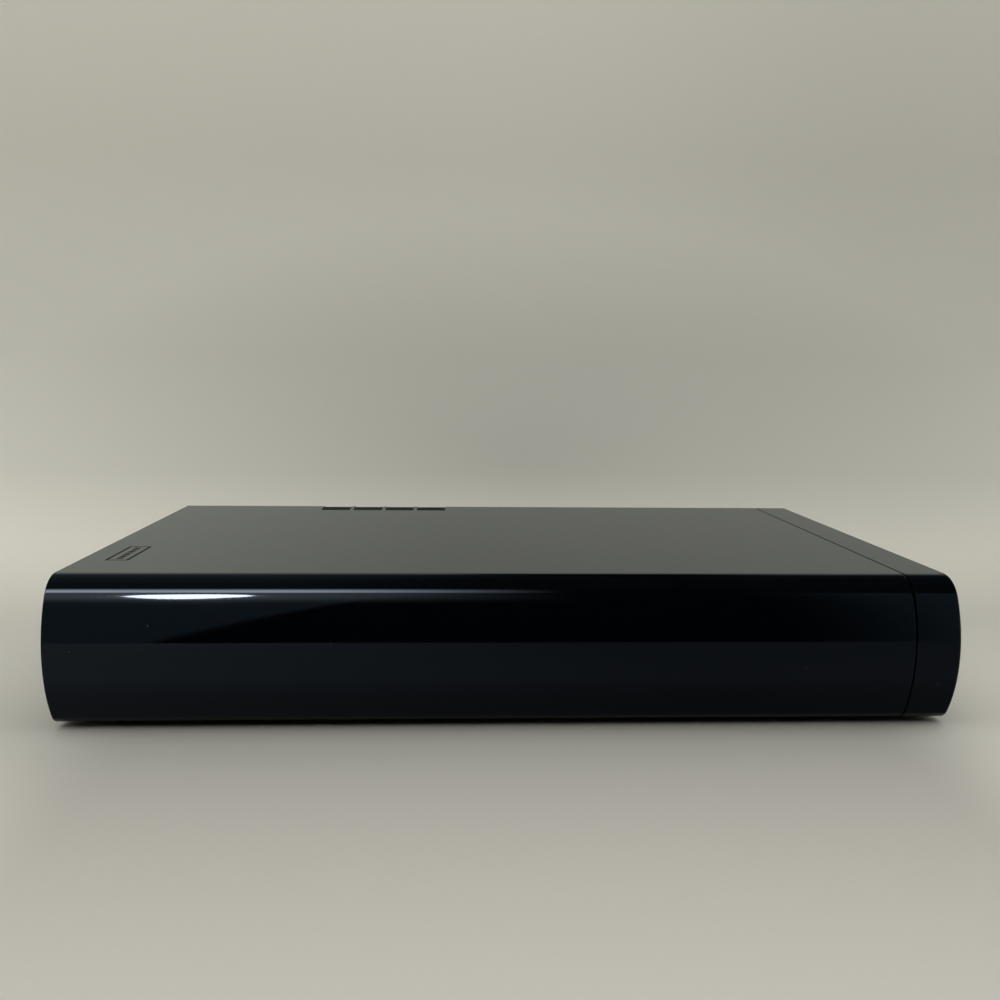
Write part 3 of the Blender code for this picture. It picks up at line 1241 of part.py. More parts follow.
def make_traverse_frame():
    low = (-FRAME_HALF, FRAME_FRONT, FRAME_Z)
    pivot = (0, PIVOT_Y, PIVOT_Z)
    shape = box(low, (FRAME_HALF, FRAME_BACK, FRAME_TOP))
    frame = piece("traverse_frame", shape, "sheet_steel", pivot)
    under = FRAME_Z - PAST
    over = FRAME_TOP + PAST
    low = (-WINDOW_HALF, FRONT_BLOCK, under)
    cut(frame, box(low, (WINDOW_HALF, BACK_BLOCK, over)))
    reach = SLED_MOTOR_RADIUS + GAP
    low = (LEAD_X - reach, SLED_MOTOR_FRONT - GAP, under)
    cut(frame, box(low, (LEAD_X + reach, SLED_MOTOR_BACK + GAP, over)))
    block_z = FRAME_TOP - SINK
    block_top = ROD_Z + ROD_RADIUS + BLOCK_CAP
    blocks = []
    for x in (-ROD_X, ROD_X):
        for y in (FRONT_BLOCK, BACK_BLOCK):
            high = (x + BLOCK_HALF, y + BLOCK_LENGTH, block_top)
            blocks.append(box((x - BLOCK_HALF, y, block_z), high))
    low = (LEAD_X - BLOCK_HALF, BACK_BLOCK, block_z)
    blocks.append(box(low, (LEAD_X + BLOCK_HALF, BACK_BLOCK + BLOCK_LENGTH, block_top)))
    join(frame, together(blocks))
    bore = ROD_RADIUS + RUNNING
    start = FRONT_BLOCK - PAST
    bores = [rod(1, (x, ROD_Z), bore, start, ROD_END + PAST) for x in (-ROD_X, ROD_X)]
    bores.append(rod(1, (LEAD_X, ROD_Z), bore, BACK_BLOCK - PAST, ROD_END + PAST))
    cut(frame, together(bores))
    tip = FRAME_HALF + EAR_SPACE + PIVOT_LENGTH
    join(frame, rod(0, (PIVOT_Y, PIVOT_Z), PIVOT_RADIUS, -tip, SINK - FRAME_HALF))
    join(frame, rod(0, (PIVOT_Y, PIVOT_Z), PIVOT_RADIUS, FRAME_HALF - SINK, tip))
    join(frame, rod(1, (0, PIVOT_Z), CAM_PIN_RADIUS, CAM_PIN_TIP, FRAME_FRONT + SINK))
    return frame


def make_spindle():
    centre = (0, SPINDLE_Y)
    shape = rod(2, centre, MOTOR_RADIUS, MOTOR_Z, MOTOR_TOP, ROUND_STEPS)
    motor = piece("spindle_motor", shape, "sheet_steel")
    spindle_end = PLATTER_Z - SPINDLE_LENGTH
    bore = SPINDLE_RADIUS + RUNNING
    cut(motor, rod(2, centre, bore, spindle_end - GAP, MOTOR_TOP + PAST))
    cone_top = DISC_UNDER + CONE_HEIGHT
    profile = [(0, spindle_end), (SPINDLE_RADIUS, spindle_end), (SPINDLE_RADIUS, PLATTER_Z)]
    profile += [(PLATTER_RADIUS, PLATTER_Z), (PLATTER_RADIUS, DISC_UNDER), (CONE_RADIUS, DISC_UNDER)]
    profile += [(CONE_TOP_RADIUS, cone_top), (0, cone_top)]
    origin = (0, SPINDLE_Y, PLATTER_Z)
    platter = piece("turntable", turned(profile, 2, centre), "matte_black", origin)
    return motor, platter


def make_sled():
    left = -ROD_X - SLED_SIDE
    right = LEAD_X + NUT_REACH
    origin = (0, SLED_Y, SLED_Z)
    shape = box((left, SLED_FRONT, SLED_Z), (right, SLED_BACK, SLED_TOP))
    sled = piece("laser_sled", shape, "matte_black", origin)
    join(sled, rod(2, (0, SLED_Y), LENS_RADIUS, SLED_TOP - SINK, DISC_UNDER - LENS_SPACE))
    bore = ROD_RADIUS + RUNNING
    bores = [
        rod(1, (x, ROD_Z), bore, SLED_FRONT - PAST, SLED_BACK + PAST) for x in (-ROD_X, ROD_X, LEAD_X)
    ]
    cut(sled, together(bores))
    shape = rod(1, (LEAD_X, ROD_Z), SLED_MOTOR_RADIUS, SLED_MOTOR_FRONT, SLED_MOTOR_BACK)
    motor = piece("sled_motor", shape, "sheet_steel")
    start = SLED_MOTOR_BACK - BORE_DEPTH
    cut(motor, rod(1, (LEAD_X, ROD_Z), bore, start, SLED_MOTOR_BACK + PAST))
    origin = (LEAD_X, SLED_MOTOR_BACK, ROD_Z)
    shape = rod(1, (LEAD_X, ROD_Z), ROD_RADIUS, start + GAP, ROD_END)
    screw = piece("lead_screw", shape, "bright_steel", origin)
    rods = []
    for name, x in (("guide_rod_left", -ROD_X), ("guide_rod_right", ROD_X)):
        rods.append(piece(name, rod(1, (x, ROD_Z), ROD_RADIUS, FRONT_BLOCK, ROD_END), "bright_steel"))
    return [sled, motor, screw, *rods]


def hang_from_pivot(pieces):
    """Parent the level pieces, and the helpers that shape them, to a pivot that lowers their front."""
    pivot = bpy.data.objects.new("traverse_pivot", None)
    pivot.location = (0, PIVOT_Y, PIVOT_Z)
    pivot.rotation_euler = (math.radians(LIFT_DEGREES), 0, 0)
    bpy.context.collection.objects.link(pivot)
    for thing in pieces:
        for part in (thing, *(step.object for step in thing.modifiers)):
            part.parent = pivot
            part.location = part.location - pivot.location


def make_cam_slider():
    low_z = PIVOT_Z - CAM_RISE
    slot = CAM_PIN_RADIUS + GAP
    left = -CAM_TRAVEL - CAM_END
    low = (left, CAM_FRONT, low_z - slot - CAM_MARGIN)
    high = (CAM_END, CAM_BACK, PIVOT_Z + slot + CAM_MARGIN)
    cam = piece("cam_slider", box(low, high), "white_plastic", (0, CAM_MIDDLE, PIVOT_Z))
    foot_z = FLOOR_TOP + GAP
    low = (left + SINK, CAM_FRONT - CAM_FOOT_DEPTH, foot_z)
    join(cam, box(low, (CAM_END - SINK, CAM_FRONT + SINK, foot_z + CAM_FOOT_THICKNESS)))
    outline = capsule((-CAM_TRAVEL, PIVOT_Z), slot, (0, low_z), slot)
    cut_front = CAM_FRONT - CAM_FOOT_DEPTH - PAST
    cut(cam, prism(outline, 1, cut_front, CAM_BACK + PAST))


def make_loader():
    roller_end = (ROLLER_Y, ROLLER_Z)
    pivot = (ARM_Y, ARM_Z)
    tail = (ARM_Y + ARM_TAIL, ARM_Z)
    outline = capsule(roller_end, ARM_RADIUS, tail, ARM_RADIUS)
    low = (-ARM_INNER - SINK, tail[0] - ARM_BAR / 2, ARM_Z - ARM_BAR / 2)
    high = (ARM_INNER + SINK, tail[0] + ARM_BAR / 2, ARM_Z + ARM_BAR / 2)
    arm = piece("roller_arm", box(low, high), "sheet_steel", (0, ARM_Y, ARM_Z))
    tip = TUNNEL_HALF + CHASSIS_WALL - GAP
    bore = ROLLER_SHAFT_RADIUS + RUNNING
    for side in (-1, 1):
        near, far = sorted((side * ARM_INNER, side * ARM_OUTER))
        join(arm, prism(outline, 0, near, far))
        near, far = sorted((side * (ARM_OUTER - SINK), side * tip))
        join(arm, rod(0, pivot, ARM_PIN_RADIUS, near, far))
        near, far = sorted((side * (ARM_INNER - PAST), side * (ARM_OUTER + PAST)))
        cut(arm, rod(0, roller_end, bore, near, far))

    shaft = ROLLER_SHAFT_RADIUS
    end = ARM_OUTER + SINK
    profile = [(0, -end), (shaft, -end), (shaft, PULLEY_LEFT), (PULLEY_RADIUS, PULLEY_LEFT)]
    profile += [(PULLEY_RADIUS, PULLEY_RIGHT), (shaft, PULLEY_RIGHT), (shaft, -ROLLER_HALF)]
    profile += [(ROLLER_RADIUS, -ROLLER_HALF), (ROLLER_RADIUS, ROLLER_HALF), (shaft, ROLLER_HALF)]
    profile += [(shaft, end), (0, end)]
    piece("load_roller", turned(profile, 0, roller_end, SMALL_STEPS), "rubber", (0, *roller_end))

    shape = rod(0, pivot, LOAD_MOTOR_RADIUS, LOAD_MOTOR_LEFT, LOAD_MOTOR_RIGHT, ROUND_STEPS)
    motor = piece("load_motor", shape, "sheet_steel")
    bore_end = LOAD_MOTOR_LEFT + LOAD_BORE
    bore = LOAD_SHAFT_RADIUS + RUNNING
    cut(motor, rod(0, pivot, bore, LOAD_MOTOR_LEFT - PAST, bore_end))
    profile = [(0, PULLEY_LEFT), (MOTOR_PULLEY_RADIUS, PULLEY_LEFT), (MOTOR_PULLEY_RADIUS, PULLEY_RIGHT)]
    profile += [(LOAD_SHAFT_RADIUS, PULLEY_RIGHT), (LOAD_SHAFT_RADIUS, bore_end - GAP), (0, bore_end - GAP)]
    piece("motor_pulley", turned(profile, 0, pivot, SMALL_STEPS), "brass", (PULLEY_LEFT, *pivot))

    inner = (pivot, MOTOR_PULLEY_RADIUS + GAP, roller_end, PULLEY_RADIUS + GAP)
    thick = BELT_THICKNESS
    outer = (pivot, inner[1] + thick, roller_end, inner[3] + thick)
    left = PULLEY_LEFT + BELT_MARGIN
    right = PULLEY_RIGHT - BELT_MARGIN
    belt = piece("drive_belt", prism(capsule(*outer), 0, left, right), "rubber", (0, ARM_Y, ARM_Z))
    cut(belt, prism(capsule(*inner), 0, left - PAST, right + PAST))


def main():
    clear_scene()
    make_top_case()
    make_case_screws()
    make_side_grille()
    make_base_pan()
    make_feet()
    make_battery()
    make_front_bezel()
    make_port_flap()
    make_port_bay()
    make_buttons()
    make_power_light()
    make_slot_felt()
    make_front_board()
    make_front_ports()
    make_rear_ports()
    make_rear_panel()
    make_boards()
    make_shield()
    make_wireless_board()
    make_flat_cable()
    make_heat_sink()
    make_blower()
    make_drive_chassis()
    make_drive_cover()
    make_dampers()
    hang_from_pivot([make_traverse_frame(), *make_spindle(), *make_sled()])
    make_cam_slider()
    make_loader()


main()
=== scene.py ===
"""The looks of a slot-loading disc console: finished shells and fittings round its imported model.

The front faces -Y, +X is on the right of someone who looks at the front, and +Z is up. The sizes in
the first blocks are the console's own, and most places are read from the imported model.
"""

import math

import bmesh
import bpy
from mathutils import Matrix, Vector


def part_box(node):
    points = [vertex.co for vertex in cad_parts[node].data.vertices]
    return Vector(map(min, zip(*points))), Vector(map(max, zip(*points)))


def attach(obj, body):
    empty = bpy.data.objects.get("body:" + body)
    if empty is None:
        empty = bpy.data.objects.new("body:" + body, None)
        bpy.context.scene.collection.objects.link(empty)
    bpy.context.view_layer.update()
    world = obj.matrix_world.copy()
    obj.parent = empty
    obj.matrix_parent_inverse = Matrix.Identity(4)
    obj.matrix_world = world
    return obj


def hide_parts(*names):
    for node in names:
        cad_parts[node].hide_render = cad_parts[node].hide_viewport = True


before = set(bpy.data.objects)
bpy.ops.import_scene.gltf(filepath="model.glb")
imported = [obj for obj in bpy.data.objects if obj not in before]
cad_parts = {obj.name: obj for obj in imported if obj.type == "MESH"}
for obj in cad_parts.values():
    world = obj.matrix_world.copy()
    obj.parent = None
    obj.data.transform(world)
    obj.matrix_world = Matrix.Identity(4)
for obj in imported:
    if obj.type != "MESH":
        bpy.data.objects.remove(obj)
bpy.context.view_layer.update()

MM = 0.001

# PAST is how far a cutter runs past what it cuts, and SINK how far a joined shape reaches in. GAP
# is the play between two pieces. CLOSE tells two places apart.
PAST = 2 * MM
SINK = 0.4 * MM
GAP = 0.3 * MM
CLOSE = 0.02 * MM

# Steps in round shapes, and then in bevelled edges
SIDE_STEPS = 48
CORNER_STEPS = 16
ROUND_STEPS = 64
SMALL_STEPS = 32
TURN_STEPS = 6
LIP_STEPS = 4
FRONT_STEPS = 8
BLOCK_STEPS = 5
EDGE_STEPS = 3
RIM_STEPS = 2
SMOOTH_DEGREES = 32

# The case's section and walls
SLEEVE_LOW, SLEEVE_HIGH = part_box("top_case")
HALF_WIDTH = SLEEVE_HIGH.x
UNDERSIDE = SLEEVE_LOW.z
TOP = SLEEVE_HIGH.z
SLEEVE_FRONT = SLEEVE_LOW.y
BACK = SLEEVE_HIGH.y
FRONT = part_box("front_bezel")[0].y
SIDE_RADIUS = 38 * MM
TOP_CORNER_RADIUS = 10 * MM
LOW_CORNER_RADIUS = 5.5 * MM
WALL = 2.2 * MM
RIM_ROUND = 0.4 * MM
FRONT_ROUND = 1.2 * MM
BEZEL_DEPTH = 13.8 * MM
WALL_BACK = FRONT + WALL
BEZEL_BACK = FRONT + BEZEL_DEPTH

SIDE_X = HALF_WIDTH - SIDE_RADIUS
SIDE_Z = (UNDERSIDE + TOP) / 2
TOP_CORNER_Z = TOP - TOP_CORNER_RADIUS
TOP_CORNER_X = SIDE_X + math.sqrt((SIDE_RADIUS - TOP_CORNER_RADIUS) ** 2 - (TOP_CORNER_Z - SIDE_Z) ** 2)
LOW_CORNER_Z = UNDERSIDE + LOW_CORNER_RADIUS
LOW_CORNER_X = SIDE_X + math.sqrt((SIDE_RADIUS - LOW_CORNER_RADIUS) ** 2 - (SIDE_Z - LOW_CORNER_Z) ** 2)
TOP_DEGREES = math.degrees(math.atan2(TOP_CORNER_Z - SIDE_Z, TOP_CORNER_X - SIDE_X))
LOW_DEGREES = math.degrees(math.atan2(LOW_CORNER_Z - SIDE_Z, LOW_CORNER_X - SIDE_X))


# Modelling steps


def take(piece):
    """Leave edit mode and select one piece alone, or nothing."""
    if bpy.context.object and bpy.context.object.mode == "EDIT":
        bpy.ops.object.mode_set(mode="OBJECT")
    bpy.ops.object.select_all(action="DESELECT")
    if piece:
        piece.select_set(True)
        bpy.context.view_layer.objects.active = piece


def edit(piece):
    take(piece)
    bpy.ops.object.mode_set(mode="EDIT")
    bpy.ops.mesh.select_mode(type="FACE")
    bpy.ops.mesh.select_all(action="SELECT")


def done():
    bpy.ops.object.mode_set(mode="OBJECT")


def pick_edges(piece, test):
    """In edit mode, select the edges whose two ends pass a test."""
    bpy.ops.mesh.select_mode(type="EDGE")
    bpy.ops.mesh.select_all(action="DESELECT")
    shape = bmesh.from_edit_mesh(piece.data)
    for edge in shape.edges:
        edge.select_set(test(*(vert.co for vert in edge.verts)))
    bmesh.update_edit_mesh(piece.data)


def pick_faces(piece, test):
    """In edit mode, select the faces whose middle and normal pass a test."""
    bpy.ops.mesh.select_mode(type="FACE")
    bpy.ops.mesh.select_all(action="DESELECT")
    shape = bmesh.from_edit_mesh(piece.data)
    for face in shape.faces:
        face.select_set(test(face.calc_center_median(), face.normal))
    bmesh.update_edit_mesh(piece.data)


def soften(piece, width, test, steps=RIM_STEPS):
    """Bevel the edges whose two ends pass a test."""
    edit(piece)
    pick_edges(piece, test)
    bpy.ops.mesh.bevel(offset=width, segments=steps, profile=0.5)
    done()


def at(axis, *places):
    """A test for edges that lie at one of some places along an axis."""

    def test(first, second):
        return any(abs(first[axis] - place) + abs(second[axis] - place) < CLOSE for place in places)

    return test


def on_axis(pair, axis, value):
    """The two coordinates across an axis with a third along it."""
    place = list(pair)
    place.insert(axis, value)
    return place


def block(name, low, high):
    """A cube between two corners."""
    take(None)
    low, high = Vector(low), Vector(high)
    bpy.ops.mesh.primitive_cube_add(size=1, location=(low + high) / 2, scale=high - low)
    bpy.ops.object.transform_apply(location=True, rotation=True, scale=True)
    bpy.context.object.name = name
    return bpy.context.object


def soft_block(name, low, high, width, steps):
    piece = block(name, low, high)
    soften(piece, width, lambda first, second: True, steps)
    return piece


def sweep(name, outline, axis, stations):
    """A filled outline extruded along an axis through stations of (growth, place).

    Growth is how far the outline has moved outwards from its first size.
    """
    take(None)
    bpy.ops.mesh.primitive_circle_add(vertices=len(outline), fill_type="NGON")
    piece = bpy.context.object
    piece.name = name
    ends = [(min(values), max(values)) for values in zip(*outline)]
    middle = [(low + high) / 2 for low, high in ends]
    halves = [(high - low) / 2 for low, high in ends]
    last_growth, last_place = stations[0]
    for vert, pair in zip(piece.data.vertices, outline):
        vert.co = on_axis(pair, axis, last_place)
    edit(piece)
    for growth, place in stations[1:]:
        run = on_axis((0, 0), axis, place - last_place)
        bpy.ops.mesh.extrude_region_move(TRANSFORM_OT_translate={"value": run})
        if growth != last_growth:
            shares = on_axis([(half + growth) / (half + last_growth) for half in halves], axis, 1)
            bpy.ops.transform.resize(value=shares, center_override=on_axis(middle, axis, place))
        last_growth, last_place = growth, place
    bpy.ops.mesh.select_all(action="SELECT")
    bpy.ops.mesh.normals_make_consistent(inside=False)
    done()
    return piece


def slab(name, outline, axis, start, end):
    return sweep(name, outline, axis, [(0, start), (0, end)])


def turned(name, profile, axis, centre, steps=ROUND_STEPS):
    """A disc extruded and scaled along a profile of (radius, place along the axis)."""
    first = profile[0][0]
    stations = [(radius - first, place) for radius, place in profile]
    return sweep(name, circle(centre, first, steps), axis, stations)


def drum(name, radius, axis, centre, start, end, steps=ROUND_STEPS):
    return turned(name, [(radius, start), (radius, end)], axis, centre, steps)


def opening(name, outline, axis, face, depth, lip):
    """A cutter from a face to a depth, flared at the face so that it leaves a round lip."""
    inward = math.copysign(1, depth)
    stations = [(0, face + depth), (0, face + inward * lip)]
    for i in range(1, LIP_STEPS + 1):
        turn = math.pi / 2 * i / LIP_STEPS
        stations.append((lip * (1 - math.cos(turn)), face + inward * lip * (1 - math.sin(turn))))
    stations.append((lip, face - inward * PAST))
    return sweep(name, outline, axis, stations)


def change(piece, kind, **settings):
    """Give a piece a modifier and apply it."""
    take(piece)
    step = piece.modifiers.new(kind.title(), kind)
    for name, value in settings.items():
        setattr(step, name, value)
    bpy.ops.object.modifier_apply(modifier=step.name)


def cut(piece, *cutters):
    for cutter in cutters:
        change(piece, "BOOLEAN", operation="DIFFERENCE", object=cutter)
        bpy.data.objects.remove(cutter)


def weld(piece, *others):
    """Join shapes that reach into a piece, so that it keeps a single closed skin."""
    for other in others:
        change(piece, "BOOLEAN", operation="UNION", object=other)
        bpy.data.objects.remove(other)


def gather(name, pieces):
    """Join shapes that don't touch into one object."""
    take(pieces[0])
    for piece in pieces:
        piece.select_set(True)
    bpy.ops.object.join()
    bpy.context.object.name = name
    return bpy.context.object


def hand_in(piece, finish, body, slot, *replaced):
    """Give a piece its material and even normals, and let it ride on a body."""
    take(piece)
    piece.data.materials.clear()
    piece.data.materials.append(finish)
    bpy.ops.object.shade_smooth_by_angle(angle=math.radians(SMOOTH_DEGREES))
    change(piece, "WEIGHTED_NORMAL", keep_sharp=True, weight=50)
    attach(piece, body)
    if replaced:
        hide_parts(*replaced)
    return piece


# Outlines


def arc(centre, radius, start, end, steps):
    """Points along an arc, both ends included, between two angles in degrees."""
    points = []
    for i in range(steps + 1):
        angle = math.radians(start + (end - start) * i / steps)
        points.append((centre[0] + radius * math.cos(angle), centre[1] + radius * math.sin(angle)))
    return points


def circle(centre, radius, steps=ROUND_STEPS):
    return arc(centre, radius, 0, 360, steps)[:-1]


def rounded(x, z, width, height, radius, steps=TURN_STEPS):
    """A rectangle with round corners, or with round ends where the radius is half its height."""
    points = []
    for i, (right, up) in enumerate(((1, -1), (1, 1), (-1, 1), (-1, -1))):
        centre = (x + right * (width / 2 - radius), z + up * (height / 2 - radius))
        for point in arc(centre, radius, 90 * i - 90, 90 * i, steps):
            if not points or math.dist(point, points[-1]) > CLOSE / 10:
                points.append(point)
    if math.dist(points[0], points[-1]) < CLOSE / 10:
        points.pop()
    return points


def band(centre, inner, outer, start, end):
    """Part of a flat ring between two angles."""
    return arc(centre, outer, start, end, SMALL_STEPS) + arc(centre, inner, end, start, SMALL_STEPS)


def mirrored(points):
    return [(-x, z) for x, z in reversed(points)]


def case_side(inset):
    """The right half of the case's section, from the top to the underside."""
    points = arc((TOP_CORNER_X, TOP_CORNER_Z), TOP_CORNER_RADIUS - inset, 90, TOP_DEGREES, CORNER_STEPS)
    points += arc((SIDE_X, SIDE_Z), SIDE_RADIUS - inset, TOP_DEGREES, LOW_DEGREES, SIDE_STEPS)[1:]
    low_corner = (LOW_CORNER_X, LOW_CORNER_Z)
    return points + arc(low_corner, LOW_CORNER_RADIUS - inset, LOW_DEGREES, -90, CORNER_STEPS)[1:]


def case_section(inset):
    return mirrored(case_side(inset)) + case_side(inset)


def centre_of(node):
    low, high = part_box(node)
    return (low + high) / 2


def spaced(middle, pitch, count):
    """Places at an even pitch on both sides of a middle."""
    return [middle + (i - (count - 1) / 2) * pitch for i in range(count)]


# Material steps


def srgb(code):
    """The linear colour of a six-digit sRGB hex value."""
    values = [int(code[i : i + 2], 16) / 255 for i in (1, 3, 5)]
    return (*(v / 12.92 if v <= 0.04045 else ((v + 0.055) / 1.055) ** 2.4 for v in values), 1)


def per(size):
    """The texture scale at which a pattern's cells are of a real size."""
    return 1 / size


def add(tree, kind, settings, inputs):
    """Add a node, set its properties, and give its inputs values or links."""
    node = tree.nodes.new("ShaderNode" + kind)
    for name, value in settings.items():
        setattr(node, name, value)
    for name, value in inputs.items():
        if isinstance(value, bpy.types.NodeSocket):
            tree.links.new(value, node.inputs[name])
        else:
            node.inputs[name].default_value = value
    return node.outputs


def new_finish(name, colour, roughness, metallic=0):
    """A Principled material with its plain values, its tree, its shader and Object coordinates."""
    finish = bpy.data.materials.new(name)
    finish.use_nodes = True
    tree = finish.node_tree
    shader = tree.nodes["Principled BSDF"]
    shader.inputs["Base Color"].default_value = srgb(colour)
    shader.inputs["Roughness"].default_value = roughness
    shader.inputs["Metallic"].default_value = metallic
    return finish, tree, shader, add(tree, "TexCoord", {}, {})["Object"]


def vary(tree, shader, colours, bumped, spread=None):
    """Let patterns drive a finish's colour, its relief and, where it spreads, its roughness."""
    tree.links.new(add(tree, "MixRGB", {}, colours)["Color"], shader.inputs["Base Color"])
    tree.links.new(add(tree, "Bump", {}, bumped)["Normal"], shader.inputs["Normal"])
    if spread:
        tree.links.new(add(tree, "MapRange", {}, spread)["Result"], shader.inputs["Roughness"])


def polished_abs():
    """Black ABS polished to a mirror. Hairlines, thumb smears and dust show in its reflections."""
    finish, tree, shader, place = new_finish("polished_abs", "#020406", 0.06)
    shader.inputs["Specular IOR Level"].default_value = 0.2
    shader.inputs["Specular Tint"].default_value = srgb("#dcebff")
    smear = add(tree, "TexNoise", {}, {"Vector": place, "Scale": per(30 * MM), "Detail": 3})["Fac"]
    rough = add(tree, "MapRange", {}, {"Value": smear, 1: 0.4, 2: 0.75, 3: 0.05, 4: 0.08})["Result"]
    cells = add(tree, "TexVoronoi", {}, {"Vector": place, "Scale": per(7 * MM)})
    speck = add(tree, "MapRange", {}, {"Value": cells["Distance"], 1: 0.016, 2: 0.03, 3: 1, 4: 0})["Result"]
    chosen = add(tree, "SeparateColor", {}, {"Color": cells["Color"]})["Red"]
    rare = add(tree, "Math", {"operation": "GREATER_THAN"}, {0: chosen, 1: 0.7})["Value"]
    dust = add(tree, "Math", {"operation": "MULTIPLY"}, {0: speck, 1: rare})["Value"]
    colours = {"Fac": dust, "Color1": srgb("#020406"), "Color2": srgb("#4c4e4c")}
    dusty = add(tree, "Math", {"operation": "MULTIPLY_ADD"}, {0: dust, 1: 0.4, 2: rough})["Value"]
    tree.links.new(dusty, shader.inputs["Roughness"])
    stretched = add(tree, "Mapping", {}, {"Vector": place, "Scale": (1, 0.06, 1)})["Vector"]
    hairs = add(tree, "TexNoise", {}, {"Vector": stretched, "Scale": per(0.8 * MM), "Detail": 2})["Fac"]
    peel = add(tree, "TexNoise", {}, {"Vector": place, "Scale": per(22 * MM), "Detail": 1})["Fac"]
    low_bump = add(tree, "Bump", {}, {"Height": peel, "Strength": 0.2, "Distance": 0.08 * MM})["Normal"]
    bumped = {"Height": hairs, "Strength": 0.06, "Distance": 0.02 * MM, "Normal": low_bump}
    vary(tree, shader, colours, bumped)
    return finish


def moulded(name, dark, light, grain_size, roughness, depth, gloss=0.5):
    """Plastic or rubber as it leaves its mould: an even grain that spreads the light."""
    finish, tree, shader, place = new_finish(name, dark, roughness)
    shader.inputs["Specular IOR Level"].default_value = gloss
    grain = add(tree, "TexNoise", {}, {"Vector": place, "Scale": per(grain_size), "Detail": 3})["Fac"]
    mottle = add(tree, "TexNoise", {}, {"Vector": place, "Scale": per(12 * MM), "Detail": 4})["Fac"]
    spread = {"Value": mottle, 1: 0.35, 2: 0.65, 3: roughness - 0.06, 4: roughness + 0.08}
    colours = {"Fac": mottle, "Color1": srgb(dark), "Color2": srgb(light)}
    bumped = {"Height": grain, "Strength": 0.6, "Distance": depth}
    vary(tree, shader, colours, bumped, spread)
    return finish


def metal(name, dark, light, streak, grain_size, roughness):
    """A metal whose brushing or drawing runs where streak is short. It brightens along its grain."""
    finish, tree, shader, place = new_finish(name, light, roughness, 1)
    stretched = add(tree, "Mapping", {}, {"Vector": place, "Scale": streak})["Vector"]
    grain = add(tree, "TexNoise", {}, {"Vector": stretched, "Scale": per(grain_size), "Detail": 4})["Fac"]
    colours = {"Fac": grain, "Color1": srgb(dark), "Color2": srgb(light)}
    spread = {"Value": grain, 1: 0.3, 2: 0.7, 3: roughness - 0.05, 4: roughness + 0.08}
    bumped = {"Height": grain, "Strength": 0.3, "Distance": 0.02 * MM}
    vary(tree, shader, colours, bumped, spread)
    return finish


def wool_felt():
    """Black wool felt: a deep tangle of fibres with a soft sheen at its edges."""
    finish, tree, shader, place = new_finish("wool_felt", "#0c0c0d", 0.95)
    shader.inputs["Sheen Weight"].default_value = 0.5
    shader.inputs["Sheen Roughness"].default_value = 0.4
    fibres = {"Vector": place, "Scale": per(0.6 * MM), "Detail": 5, "Distortion": 2}
    tangle = add(tree, "TexNoise", {}, fibres)["Fac"]
    colours = {"Fac": tangle, "Color1": srgb("#060606"), "Color2": srgb("#1c1c1d")}
    vary(tree, shader, colours, {"Height": tangle, "Strength": 0.9, "Distance": 0.15 * MM})
    return finish


def clear_polycarbonate():
    """A clear moulded light pipe, milky from its rough inner end."""
    finish, tree, shader, place = new_finish("clear_polycarbonate", "#c9d3d6", 0.15)
    shader.inputs["Transmission Weight"].default_value = 0.6
    shader.inputs["IOR"].default_value = 1.58
    cloud = add(tree, "TexNoise", {}, {"Vector": place, "Scale": per(1 * MM), "Detail": 2})["Fac"]
    spread = {"Value": cloud, 1: 0.3, 2: 0.7, 3: 0.1, 4: 0.25}
    tree.links.new(add(tree, "MapRange", {}, spread)["Result"], shader.inputs["Roughness"])
    return finish


def solder_mask():
    """Fibreglass board under green lacquer. Copper tracks show through it as lighter lines."""
    finish, tree, shader, place = new_finish("solder_mask", "#0d4a2b", 0.35)
    flat = add(tree, "Mapping", {}, {"Vector": place, "Scale": (1, 1, 0)})["Vector"]
    tracks = {"Vector": flat, "Scale": 1, "Brick Width": 9 * MM, "Row Height": 1.1 * MM}
    tracks.update({"Mortar Size": 0.22 * MM, "Color1": srgb("#0b3f25"), "Color2": srgb("#0e4c2c")})
    tracks["Mortar"] = srgb("#1d7a48")
    rows = add(tree, "TexBrick", {"offset": 0.37}, tracks)
    cells = add(tree, "TexVoronoi", {}, {"Vector": flat, "Scale": per(3.1 * MM)})
    pad = add(tree, "MapRange", {}, {"Value": cells["Distance"], 1: 0.1, 2: 0.13, 3: 1, 4: 0})["Result"]
    colours = {"Fac": pad, "Color1": rows["Color"], "Color2": srgb("#b9a46a")}
    vary(tree, shader, colours, {"Height": rows["Fac"], "Strength": 0.5, "Distance": 0.03 * MM})
    return finish


def ribbon_film():
    """A polyester film cable: pale film over a row of flat conductors 1 mm apart."""
    finish, tree, shader, place = new_finish("ribbon_film", "#e8e6dc", 0.35)
    across = add(tree, "SeparateXYZ", {}, {"Vector": place})["X"]
    waves = add(tree, "Math", {"operation": "MULTIPLY"}, {0: across, 1: 2 * math.pi * per(MM)})["Value"]
    wave = add(tree, "Math", {"operation": "SINE"}, {0: waves})["Value"]
    wire = add(tree, "MapRange", {}, {"Value": wave, 1: -0.2, 2: 0.2, 3: 0, 4: 1})["Result"]
    colours = {"Fac": wire, "Color1": srgb("#efeee6"), "Color2": srgb("#b9b7ad")}
    vary(tree, shader, colours, {"Height": wire, "Strength": 0.4, "Distance": 0.05 * MM})
    return finish


POLISHED = polished_abs()

# ABS from a spark-eroded mould, half matt. The sockets' PBT is finer and smoother.
SPARKED = moulded("sparked_abs", "#161719", "#1d1e20", 0.35 * MM, 0.55, 0.03 * MM)
PORT_BLACK = moulded("moulded_pbt", "#121214", "#191a1c", 0.25 * MM, 0.4, 0.01 * MM)

# Black rubber, dull and without a sharp highlight
RUBBER = moulded("moulded_rubber", "#141414", "#242322", 0.5 * MM, 0.85, 0.04 * MM)

